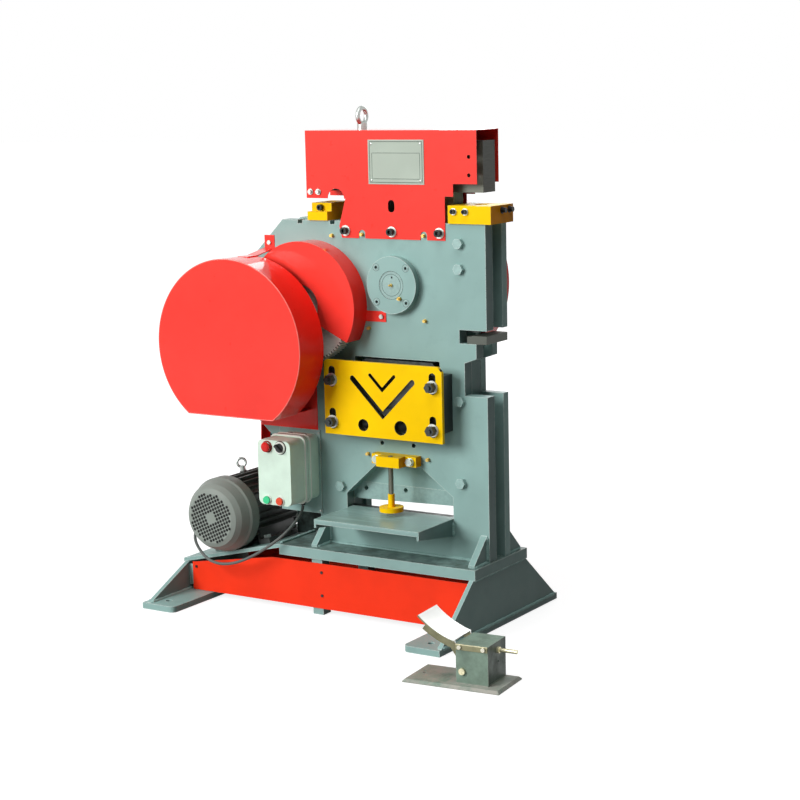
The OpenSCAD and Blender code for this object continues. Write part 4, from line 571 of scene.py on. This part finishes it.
def finish(key):
    """A material made once and kept under its own name."""
    if key not in MADE:
        p = paints()
        makers = {
            # Plates: ends is painted shade on the faces that look along X
            "frame_paint": lambda: paint("grey_green_frame_paint", p.plates, 0.38, ends=0.6, **PLATE_EDGE_WEAR_AND_HIGHLIGHT),
            "front_paint": lambda: paint("front_plate_paint", p.plates, 0.38, ends=0.45, **PLATE_EDGE_WEAR_AND_HIGHLIGHT),
            # Rear plate: near-black painted shade in the corner behind the motor, where shade falls
            "rear_paint": lambda: paint("rear_plate_paint", p.plates, 0.38, ends=0.95, **PLATE_EDGE_WEAR_AND_HIGHLIGHT,
                                        dark_patch=("#1C211E", SHADED_MOTOR_CORNER, (0.85, 1.0))),
            # Base plate: darker patches over its top
            "base_paint": lambda: paint("base_plate_paint", p.plates, 0.38, ends=0.6, **PLATE_EDGE_WEAR_AND_HIGHLIGHT,
                                        dark_patch=("#49534D", BASE_TOP, (0.25, 0.9))),
            # Guards: painted light, a brighter, deeper red on the rims, which do not look along Y
            "guard_red": lambda: paint("red_guard_paint", p.guards, 0.34, coat=1.0, dirt=0.06, bare="#D98A80",
                                       wall_shading=("#FF2A1E", [])),
            # Guard edge: painted highlight, a pale pink-red on the rolled edge
            "highlight_red": lambda: paint("red_guard_edge_highlight", "#F8756C", 0.25, wear=0.0, dirt=0.1, mirror=0.4),
            "panel_red": lambda: paint("orange_panel_paint", p.panel, 0.4, dirt=0.1, bare="#C97A6E"),
            # Dies: painted shade, a deeper orange on the faces that look along X
            "die_yellow": lambda: paint("yellow_die_paint", p.dies, 0.36, dirt=0.3, mirror=0.05, ends="#F09A06"),
            # Guide plate: painted shade, a dark tone on the slots' walls
            "guide_yellow": lambda: paint("yellow_guide_paint", p.dies, 0.36, dirt=0.25, mirror=0.05,
                                          wall_shading=("#3B3A2C", SHADED_GUIDE_SLOTS)),
            "dark_steel": lambda: steel("oiled_dark_steel", "#4A4F4E", 0.42),
            "bright_steel": lambda: steel("zinc_steel", "#B4B9B5", 0.32),
            "machined_steel": lambda: steel("turned_steel", "#B3B8B4", 0.3, oil=0.4),
            # Ram head: painted shade, its faces that look along X at a quarter of the tone
            "head_steel": lambda: steel("ram_head_steel", "#606459", 0.5, metal=0.3, ends=0.25),
            "notch_steel": lambda: steel("notch_die_steel", "#4B5049", 0.55, metal=0.3),
            # Gear: a pale tone raised as painted light for a gear in the guards' shade, with painted shaded gaps and
            # lit tips
            "gear_steel": lambda: steel("gear_tooth_steel", "#E2E4DC", 0.45, metal=0.1, oil=0.2,
                                        teeth=gear_circles("intermediate_gear", INTERMEDIATE_TEETH)),
            # Table: the pale edge tone is worn paint and a painted edge highlight, and ends is painted shade on
            # faces along X
            "table_paint": lambda: paint("rubbed_table_paint", dimmed(p.plates, 0.86), 0.26, peel=0.00001,
                                         swell=0.00001, wear=0.0038, bare="#C3D3CD", chipped=(0.3, 0.55), dirt=0.08,
                                         mirror=0.3, cloud=0.0, streaks=0.7, ends=0.6),
            "box_body": lambda: moulded("control_box_body", "#D6EEDD", 0.42, 420.0),
            "spindle": lambda: steel("spindle_steel", "#63655A", 0.42, metal=0.6, oil=0.5),
            "cast_iron": lambda: cast("raw_cast_iron", "#4C4F4D"),
            "bronze": lambda: steel("bearing_bronze", "#B28F4C", 0.35),
            "brass": lambda: steel("plain_brass", "#C2A55A", 0.34),
            "belt_rubber": lambda: moulded("belt_rubber", "#242625", 0.7, 500.0),
            "motor_dark": lambda: paint("motor_body_paint", "#565A57", 0.36, dirt=0.4, mirror=0.5),
            "motor_grey": lambda: paint("motor_cowl_paint", p.motor, 0.42),
            "box_paint": lambda: moulded("control_box_moulding", p.box, 0.42, 420.0),
            "black_plastic": lambda: moulded("black_moulding", "#1E2020", 0.45),
            "red_plastic": lambda: moulded("red_button_moulding", "#D21A10", 0.25),
            "red_dark": lambda: moulded("dark_red_moulding", "#8E1710", 0.4),
            "orange_plastic": lambda: moulded("stop_button_moulding", "#E04A2A", 0.28),
            "green_plastic": lambda: moulded("start_button_moulding", "#3FD08E", 0.28),
            "cable_grey": lambda: moulded("cable_sheath", "#5B605D", 0.55, 900.0),
            "hammered_paint": lambda: patchy("pedal_enamel", "#7F9586", "#A9A79E"),
            "treadle_paint": lambda: paint("treadle_enamel", p.treadle, 0.36, peel=0.000005, swell=0.00001,
                                           wear=0.0, dirt=0.0, mirror=0.5, metal=0.85, sides="#7F7E63"),
            "label_plate": lambda: paint("plate_enamel", "#AFBBAE", 0.42, wear=0.0, dirt=0.15),
            "pale_ring": lambda: moulded("pale_ring_moulding", "#E6EBE2", 0.35),
            "groove": lambda: paint("shadowed_groove", dimmed(p.plates, 0.3), 0.6, wear=0.0, dirt=0.2),
            "dark_line": lambda: paint("dark_border_line", "#46504A", 0.5, wear=0.0, dirt=0.1),
            "weld": lambda: paint("painted_weld", dimmed(p.plates, 1.15), 0.45, wear=0.0, dirt=0.9),
            "hole_dark": lambda: moulded("shadowed_hole", "#141514", 0.8),
            "screws": lambda: banded("cover_and_flange_screws", "#2B2D2C", [
                ("#C9CCC6", 0.6, COVER_WASHERS), (p.plates, 0.0, FLANGE_SCREWS)]),
            # Hex heads: the pale rim tone is a painted highlight along their edges
            "hex_heads": lambda: banded("painted_hex_heads", "#A7B4AF", [
                (dimmed(p.plates, 1.12), 0.0, PLATE_HEADS)], rim="#DDE8E4"),
            "stud_nuts": lambda: banded("stud_nuts_bright_washers", "#3A3E3C", [("#C4C7C1", 0.7, GUIDE_WASHERS)]),
            "pedal_metal": lambda: banded("pedal_fittings_metal", "#D8D2B0", [
                ("#8E8C6A", 0.2, PEDAL_STRIP), ("#F2EFDC", 0.1, STRIP_HEADS)]),
            "shaft_end": lambda: banded("painted_shaft_end", "#B3B8B4", [(p.plates, 0.0, SHAFT_FACE)]),
            "blades": lambda: banded("ram_blade_steel", "#4A4F4E", [(p.plates, 0.0, FLAT_BLADE)]),
            "tin_screws": lambda: banded("sheet_screw_heads", "#A9AEA9", [("#2A2320", 0.2, PANEL_SCREWS)]),
        }
        MADE[key] = makers[key]()
    return MADE[key]


# Route of the motor cable, the same points as the solid's, in millimetres
CABLE_ROUTE = np.array([
    [-86, -87, 284], [-86, -93, 270], [-87, -113, 252], [-93, -139, 232], [-110, -161, 209],
    [-140, -176, 184], [-180, -184, 158], [-220, -189, 138], [-256, -192, 126], [-291, -193, 121],
    [-322, -192, 124], [-348, -188, 133], [-370, -181, 145], [-391, -170, 158], [-409, -155, 170],
    [-422, -137, 181], [-430, -118, 192], [-435, -100, 202], [-437, -84, 211], [-439, -71, 216],
    [-439, -63, 217]]) * MM


# Camera fitted to the object's straight edges: lens and sensor in millimetres, and its place in the frame
LENS = 86.54
SENSOR = 36.0
CAMERA_PLACE = (
    (0.84400, -0.07146, 0.53157, 2.88626),
    (0.53591, 0.15242, -0.83040, -4.23139),
    (-0.02168, 0.98573, 0.16694, 1.43016),
    (0.0, 0.0, 0.0, 1.0))
# Half the floor's side, and its height a little under the feet
FLOOR_REACH = 30.0
FLOOR_Z = -0.0004
# Square lamps: name, place, watts and width; all look at one point of the part
LAMPS = (("key", (-2.4, -5.2, 2.9), 395.0, 3.0), ("top", (0.9, -1.4, 4.5), 70.0, 2.0),
         ("back", (-1.2, 5.0, 2.6), 80.0, 3.0))
LAMP_AIM = (0.05, -0.05, 0.65)


class IRONWORKER_OT_stage(bpy.types.Operator):
    """Pale floor, soft studio lamps and the camera"""
    bl_idname = "ironworker.stage"
    bl_label = "Stage"

    def execute(self, context):
        scene = context.scene
        scene.view_settings.view_transform = "Standard"
        camera = bpy.data.objects.new("camera", bpy.data.cameras.new("camera"))
        scene.collection.objects.link(camera)
        camera.data.lens = LENS
        camera.data.sensor_width = SENSOR
        camera.data.clip_end = 2 * FLOOR_REACH
        camera.matrix_world = Matrix(CAMERA_PLACE)
        scene.camera = camera
        corner = np.array([[-1, -1], [1, -1], [1, 1], [-1, 1]]) * FLOOR_REACH
        mesh = bpy.data.meshes.new("floor")
        mesh.from_pydata(np.c_[corner, np.full(4, FLOOR_Z)].tolist(), [], [[0, 1, 2, 3]])
        floor = bpy.data.objects.new("floor", mesh)
        scene.collection.objects.link(floor)
        mesh.materials.append(self.floor_material())
        self.world(scene)
        for name, place, energy, width in LAMPS:
            lamp = bpy.data.objects.new(name, bpy.data.lights.new(name, "AREA"))
            lamp.data.energy = energy
            lamp.data.size = width
            lamp.location = place
            aim = Vector(place) - Vector(LAMP_AIM)
            lamp.rotation_euler = aim.to_track_quat("Z", "Y").to_euler()
            scene.collection.objects.link(lamp)
        return {"FINISHED"}

    def seen(self, tree):
        """One for rays that come from the camera, a mirror or glass."""
        path = tree.nodes.new("ShaderNodeLightPath")
        total = path.outputs["Is Camera Ray"]
        for other in ("Is Glossy Ray", "Is Transmission Ray"):
            node = tree.nodes.new("ShaderNodeMath")
            node.operation = "MAXIMUM"
            tree.links.new(total, node.inputs[0])
            tree.links.new(path.outputs[other], node.inputs[1])
            total = node.outputs["Value"]
        return total

    def floor_material(self):
        """Pale matt floor with a faint drift of tone, lifted to white where it is seen and unshaded."""
        t = Tree("pale_floor")
        t.link(t.blend(t.span(t.noise(1.5, 3.0), 0.3, 0.7), (0.29, 0.29, 0.29), (0.33, 0.33, 0.33)),
               t.shader.inputs["Base Color"])
        t.shader.inputs["Roughness"].default_value = 0.9
        t.shader.inputs["Emission Color"].default_value = (1.0, 1.0, 1.0, 1.0)
        reach = t.add("ShaderNodeVectorMath", operation="LENGTH")
        t.link(t.place, reach.inputs[0])
        lift = t.math("MULTIPLY", self.seen(t.tree), t.span(reach.outputs["Value"], 0.8, 4.0, 0.84, 1.0))
        t.link(lift, t.shader.inputs["Emission Strength"])
        return t.material

    def world(self, scene):
        """White to the camera and to mirrors, soft grey light for the rest."""
        world = bpy.data.worlds.new("studio")
        scene.world = world
        world.use_nodes = True
        tree = world.node_tree
        light = tree.nodes["Background"]
        light.inputs["Color"].default_value = (1.0, 0.98, 0.94, 1.0)
        light.inputs["Strength"].default_value = 0.025
        white = tree.nodes.new("ShaderNodeBackground")
        white.inputs["Color"].default_value = (1.0, 1.0, 1.0, 1.0)
        mix = tree.nodes.new("ShaderNodeMixShader")
        tree.links.new(self.seen(tree), mix.inputs[0])
        tree.links.new(light.outputs[0], mix.inputs[1])
        tree.links.new(white.outputs[0], mix.inputs[2])
        tree.links.new(mix.outputs[0], tree.nodes["World Output"].inputs["Surface"])


class IRONWORKER_OT_cable(bpy.types.Operator):
    """Motor cable from the control box to the motor"""
    bl_idname = "ironworker.cable"
    bl_label = "Motor cable"

    def execute(self, context):
        path = smooth_path(CABLE_ROUTE, count=150)
        cable = piece("motor_cable_sheath", [swept(path, sizes().cable_r, sides=14)], finish("cable_grey"), ROOT,
                      ["motor_cable"])
        return {"FINISHED"}


# Solids whose finish is not the plain one of their slot
SPECIAL = {
    "socket_screws": "screws", "hex_bolts": "hex_heads", "guide_studs": "stud_nuts", "sheet_screws": "tin_screws",
    "pedal_fittings": "pedal_metal", "eccentric_shaft": "shaft_end", "ram_blades": "blades",
    "ram_head": "head_steel", "angle_guide_plate": "guide_yellow", "intermediate_gear": "gear_steel",
    "control_box": "box_body", "shear_table": "table_paint", "notch_die": "notch_steel",
    "front_plate": "front_paint", "rear_plate": "rear_paint", "base_plate": "base_paint"}


class IRONWORKER_OT_paint(bpy.types.Operator):
    """Gives every solid its finish"""
    bl_idname = "ironworker.paint"
    bl_label = "Paint the solids"

    def execute(self, context):
        for name, obj in NODES.items():
            key = SPECIAL.get(name, SLOT_OF[name])
            obj.data.materials.clear()
            obj.data.materials.append(finish(key))
        return {"FINISHED"}


def bead(a, b, radius):
    """Weld bead: a tube from a to b whose radius swells and falls with each ripple, closed at both ends."""
    a, b = np.asarray(a, float) * MM, np.asarray(b, float) * MM
    step = 1.6 * MM
    count = max(8, int(np.linalg.norm(b - a) / step))
    s = np.linspace(0, 1, count)
    along = s * np.linalg.norm(b - a)
    ripple = 1 + 0.16 * np.sin(1.7 * along / step) + 0.12 * np.sin(along / 0.011) + 0.1 * np.sin(along / 0.0043)
    taper = np.clip(np.minimum(s, 1 - s) * count / 3, 0.25, 1)
    return swept(a + s[:, None] * (b - a), radius * ripple * taper, sides=8)


def weld_lines():
    """The two ends of every weld bead, in millimetres."""
    front, back, base = -56, 53.5, 184
    lines = []
    for x in (-37, -19, 452, 470):
        lines += [((x, front, base), (x, -121, base)), ((x, front, base + 1), (x, front, 252)),
                  ((x, back, base), (x, 118, base))]
    lines += [((x, -298, 18), (x, 298, 18)) for x in (464.5, 476.5)]
    lines += [((x, -303, 18), (x, 303, 18)) for x in (-463.5, -451.5)]
    lines.append(((476.5, -138, 155), (476.5, 132, 155)))
    lines += [((-49, y, base), (476, y, base)) for y in (front, back)]
    lines += [((x, front, 241), (x, front, 280)) for x in (47, 369)]
    lines.append(((-132, -134, base - 0.5), (-132, 128, base - 0.5)))
    return lines


class IRONWORKER_OT_welds(bpy.types.Operator):
    """Weld beads along the joins of the base, gussets and shear table"""
    bl_idname = "ironworker.welds"
    bl_label = "Weld beads"

    def execute(self, context):
        beads = [bead(a, b, sizes().bead_r) for a, b in weld_lines()]
        piece("weld_beads", beads, finish("weld"), ROOT)
        return {"FINISHED"}


class IRONWORKER_OT_screw(bpy.types.Operator):
    """Threaded hold-down spindle and its plain journal"""
    bl_idname = "ironworker.screw"
    bl_label = "Hold-down screw"

    def execute(self, context):
        low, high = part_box("hold_down_screw")
        middle = (low + high) / 2
        crest, depth, pitch = 6.95 * MM, 0.9 * MM, sizes().thread_pitch
        journal_r, journal_l, gap = 5.9 * MM, 44 * MM, 0.1 * MM
        rows, sides = 12, 40
        start = low[2] + journal_l
        z = np.linspace(start, high[2], int((high[2] - start) / pitch * rows))
        angle = np.linspace(0, 2 * np.pi, sides, endpoint=False)
        phase = z[:, None] / pitch - angle[None, :] / (2 * np.pi)
        tooth = np.abs(2 * (phase - np.floor(phase + 0.5)))
        radius = crest - depth * np.clip(tooth * 1.4 - 0.2, 0, 1)
        grid = np.stack([middle[0] + radius * np.cos(angle), middle[1] + radius * np.sin(angle),
                         np.broadcast_to(z[:, None], radius.shape)], -1).reshape(-1, 3)
        last = (len(z) - 1) * sides
        faces = quads(len(z), sides, wrap_columns=True).tolist()
        faces += [np.arange(sides)[::-1].tolist(), (last + np.arange(sides)).tolist()]
        journal = closed_turned([(journal_r, 0), (journal_r, start - low[2] - gap)],
                                (middle[0], middle[1], low[2]), UP)
        piece("hold_down_thread", [(grid, faces), journal], finish("spindle"), "hold_down_screw",
              ["hold_down_screw"])
        return {"FINISHED"}


# Collars on the control box: the piece each goes round, inner and outer radius and rise in millimetres, and finish
COLLARS = (("selector", 12.6, 17.0, 4.6, "pale_ring"), ("selector", 17.1, 18.6, 2.4, "black_plastic"),
           ("emergency_stop", 13.4, 16.0, 3.0, "red_dark"))


class IRONWORKER_OT_box_fittings(bpy.types.Operator):
    """Bezels, collars, pale rim beads that paint the rim's highlight, seam and blanking plugs of the control box"""
    bl_idname = "ironworker.box_fittings"
    bl_label = "Control box fittings"

    def execute(self, context):
        low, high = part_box("control_box_lid")
        face = low[1]
        bezel = np.array([(10.6, 0.0), (13.6, 0.0), (13.6, 2.0), (12.6, 3.2), (11.2, 3.2), (10.6, 2.6)]) * MM
        rings = [turned_ring(bezel, self.on_face(name, face), FORWARD)
                 for name in ("start_button", "stop_button")]
        piece("button_bezels", rings, finish("pale_ring"), ROOT)
        for name, inner, outer, rise, tone in COLLARS:
            ring = np.array([(inner, 0.0), (outer, 0.0), (outer, rise - 1.2), (outer - 0.8, rise),
                             (inner, rise)]) * MM
            piece("%s_collar_%s" % (name, tone), [turned_ring(ring, self.on_face(name, face), FORWARD)],
                  finish(tone), ROOT)
        corner, rim_r, seam_r = 19 * MM, 2.2 * MM, 0.7 * MM
        least, most = np.array(low) + 0.5 * MM, np.array(high) - 0.5 * MM
        # Painted highlight: pale beads along both edges of the box's rim
        edges = [round_ring(least, most, corner, high[1] + y * MM, rim_r) for y in (-11.4, 11.4)]
        piece("box_rim_highlight_beads", edges, finish("pale_ring"), ROOT)
        seam = round_ring(least, most, corner, high[1], seam_r)
        piece("box_seam", [seam], finish("dark_line"), ROOT)
        plug = np.array([(9.0, 0.0), (9.0, 0.6), (7.5, 1.4), (2.0, 1.6)]) * MM
        apart, plug_y = 22 * MM, -82 * MM
        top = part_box("control_box")[1][2] - 4 * MM
        plugs = [closed_turned(plug, ((low[0] + high[0]) / 2 + side * apart, plug_y, top), UP, steps=24)
                 for side in (-1, 1)]
        piece("blanking_plugs", plugs, finish("hole_dark"), ROOT)
        return {"FINISHED"}

    def on_face(self, name, face):
        """The middle of a button or knob, on the lid's face."""
        low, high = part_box(name)
        return (low[0] + high[0]) / 2, face, (low[2] + high[2]) / 2


def round_ring(low, high, corner, y, radius):
    """Closed bead along a rectangle with round corners in the plane y: four quarter circles joined end to end."""
    turn = np.linspace(0, np.pi / 2, 9)
    path = []
    for k, (x, z) in enumerate(((high[0] - corner, high[2] - corner), (low[0] + corner, high[2] - corner),
                                (low[0] + corner, low[2] + corner), (high[0] - corner, low[2] + corner))):
        angle = turn + k * np.pi / 2
        path.append(np.stack([x + corner * np.cos(angle), np.full(len(turn), y), z + corner * np.sin(angle)], -1))
    return swept(np.concatenate(path), radius, sides=8, closed=True)


def frame_ring(x0, x1, z0, z1, y, radius):
    """Closed rectangular bead in the plane y, with eight sides."""
    side = np.linspace(0, 1, 24, endpoint=False)[:, None]
    corners = np.array([[x0, y, z0], [x1, y, z0], [x1, y, z1], [x0, y, z1]])
    path = np.concatenate([corners[k] + side * (corners[(k + 1) % 4] - corners[k]) for k in range(4)])
    return swept(path, radius, sides=8, closed=True)


class IRONWORKER_OT_flange(bpy.types.Operator):
    """Grooves round the shaft end and the screws of the bearing flange, and its middle grease nipple"""
    bl_idname = "ironworker.flange"
    bl_label = "Bearing flange"

    def execute(self, context):
        low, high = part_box("bearing_flange")
        x, z = (low[0] + high[0]) / 2, (low[2] + high[2]) / 2
        face = low[1]
        apart, proud = 45 * MM, 1 * MM
        rings = [turned_ring(self.groove(36.4, 1.2), (x, face, z), FORWARD, steps=64)]
        rings += [turned_ring(self.groove(9.6, 0.9), (x + sx * apart, face, z + sz * apart), FORWARD, steps=32)
                  for sx in (-1, 1) for sz in (-1, 1)]
        piece("flange_grooves", rings, finish("groove"), ROOT)
        end = (x, face + proud, z)
        piece("shaft_groove", [turned_ring(self.groove(28.5, 1.2), end, FORWARD, steps=64)], finish("groove"),
              "eccentric")
        nipple = np.array([(4.0, 0.0), (4.0, 3.0), (2.6, 4.0), (2.2, 8.0), (3.0, 9.0), (2.4, 11.0),
                           (1.0, 12.0)]) * MM
        piece("shaft_nipple", [closed_turned(nipple, end, FORWARD, steps=20)], finish("brass"), "eccentric")
        return {"FINISHED"}

    def groove(self, r, w):
        """Outline of a thin dark ring of middle radius r and width w, in millimetres."""
        return np.array([(r - w / 2, -0.2), (r + w / 2, -0.2), (r + w / 2, 0.25), (r - w / 2, 0.25)]) * MM


class IRONWORKER_OT_nameplate(bpy.types.Operator):
    """Dark border lines and rivets of the bare nameplate"""
    bl_idname = "ironworker.nameplate"
    bl_label = "Nameplate"

    def execute(self, context):
        low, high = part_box("nameplate")
        inset, margin, under, over = 5 * MM, 12 * MM, 14 * MM, 34 * MM
        lines = [frame_ring(low[0] + inset, high[0] - inset, low[2] + inset, high[2] - inset, low[1], 0.7 * MM),
                 frame_ring(low[0] + margin, high[0] - margin, low[2] + under, high[2] - over, low[1], 0.5 * MM)]
        piece("nameplate_lines", lines, finish("dark_line"), ROOT)
        rivet = np.array([(3.2, 0.0), (3.0, 0.9), (2.0, 1.6), (0.5, 1.9)]) * MM
        edge = 10 * MM
        heads = [closed_turned(rivet, (x, low[1], z), FORWARD, steps=18)
                 for x in (low[0] + edge, high[0] - edge) for z in (low[2] + edge, high[2] - edge)]
        piece("nameplate_rivets", heads, finish("bright_steel"), ROOT)
        return {"FINISHED"}


class IRONWORKER_OT_cowl(bpy.types.Operator):
    """Ventilation holes of the fan cowl"""
    bl_idname = "ironworker.cowl"
    bl_label = "Fan cowl grille"

    def execute(self, context):
        low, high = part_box("motor_cowl")
        x, z, y = (low[0] + high[0]) / 2, (low[2] + high[2]) / 2, low[1]
        pitch = sizes().grille_pitch
        cells, turn, grille_r, sides = 12, math.radians(25), 68 * MM, 10
        hole_r, proud, depth = 0.44 * pitch, 0.25 * MM, 0.3 * MM
        i, j = np.meshgrid(np.arange(-cells, cells + 1), np.arange(-cells, cells + 1))
        right = (i * math.cos(turn) - j * math.sin(turn)) * pitch
        up = (i * math.sin(turn) + j * math.cos(turn)) * pitch
        bare = np.maximum(np.abs(i), np.abs(j)) <= 1
        keep = (np.hypot(right, up) < grille_r) & ~bare
        spots = np.stack([right[keep], up[keep]], -1)
        angle = np.linspace(0, 2 * np.pi, sides, endpoint=False)
        flat = spots[:, None, :] + hole_r * np.stack([np.cos(angle), np.sin(angle)], -1)[None]
        front = np.stack([x + flat[..., 0], np.full(flat.shape[:2], y - proud), z + flat[..., 1]], -1)
        back = front + np.array([0, depth, 0])
        points = np.concatenate([front, back], 1).reshape(-1, 3)
        base = np.arange(len(spots))[:, None] * 2 * sides
        k = np.arange(sides)
        round_about = np.stack([k, (k + 1) % sides, sides + (k + 1) % sides, sides + k], -1)
        faces = (base[:, :, None] + round_about[None]).reshape(-1, 4).tolist()
        faces += (base + k[::-1]).tolist()
        faces += (base + sides + k).tolist()
        piece("cowl_holes", [(points, faces)], finish("hole_dark"), ROOT, smooth=False)
        return {"FINISHED"}


# Outline of the flywheel guard, in millimetres: middle x and z, radius, and height of its flat lower edge
GUARD_X, GUARD_Z, GUARD_R, GUARD_FLAT_Z = -201.56, 730.80, 233.0, 544.0


class IRONWORKER_OT_guard_edges(bpy.types.Operator):
    """Rolled front edge of the flywheel guard, in a pale red that is a painted highlight"""
    bl_idname = "ironworker.guard_edges"
    bl_label = "Guard edges"

    def execute(self, context):
        r = sizes().edge_r
        sunk = 0.6 * r
        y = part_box("flywheel_guard")[0][1] + sunk
        radius = GUARD_R * MM - sunk
        drop = math.asin((GUARD_Z - GUARD_FLAT_Z) / GUARD_R)
        angle = np.linspace(-drop, math.pi + drop, 150)
        arc = np.stack([GUARD_X * MM + radius * np.cos(angle), np.full(len(angle), y),
                        GUARD_Z * MM + radius * np.sin(angle)], -1)
        chord = arc[-1] + np.linspace(0, 1, 60, endpoint=False)[1:, None] * (arc[0] - arc[-1])
        edge = swept(np.concatenate([arc, chord]), r, sides=8, closed=True)
        piece("flywheel_guard_edge", [edge], finish("highlight_red"), ROOT)
        return {"FINISHED"}


STEPS = ("stage", "cable", "paint", "welds", "screw", "box_fittings", "flange", "nameplate", "cowl", "guard_edges")


class IRONWORKER_PT_panel(bpy.types.Panel):
    """Steps of the finish, in order"""
    bl_idname = "IRONWORKER_PT_panel"
    bl_label = "Ironworker"
    bl_space_type = "VIEW_3D"
    bl_region_type = "UI"
    bl_category = "Ironworker"

    def draw(self, context):
        for group in (context.scene.ironworker_paints, context.scene.ironworker_sizes):
            for key in group.__annotations__:
                self.layout.prop(group, key)
        for step in STEPS:
            self.layout.operator("ironworker." + step)


CLASSES = (
    IronworkerPaints, IronworkerSizes, IRONWORKER_OT_stage, IRONWORKER_OT_cable, IRONWORKER_OT_paint,
    IRONWORKER_OT_welds, IRONWORKER_OT_screw, IRONWORKER_OT_box_fittings, IRONWORKER_OT_flange,
    IRONWORKER_OT_nameplate, IRONWORKER_OT_cowl, IRONWORKER_OT_guard_edges, IRONWORKER_PT_panel)


def register():
    """Adds the classes and the settings."""
    for cls in CLASSES:
        bpy.utils.register_class(cls)
    bpy.types.Scene.ironworker_paints = bpy.props.PointerProperty(type=IronworkerPaints)
    bpy.types.Scene.ironworker_sizes = bpy.props.PointerProperty(type=IronworkerSizes)


def unregister():
    """Takes the settings and the classes away."""
    del bpy.types.Scene.ironworker_sizes
    del bpy.types.Scene.ironworker_paints
    for cls in reversed(CLASSES):
        bpy.utils.unregister_class(cls)


def main():
    """Runs every step."""
    register()
    for step in STEPS:
        getattr(bpy.ops.ironworker, step)()


if __name__ == "__main__":
    main()
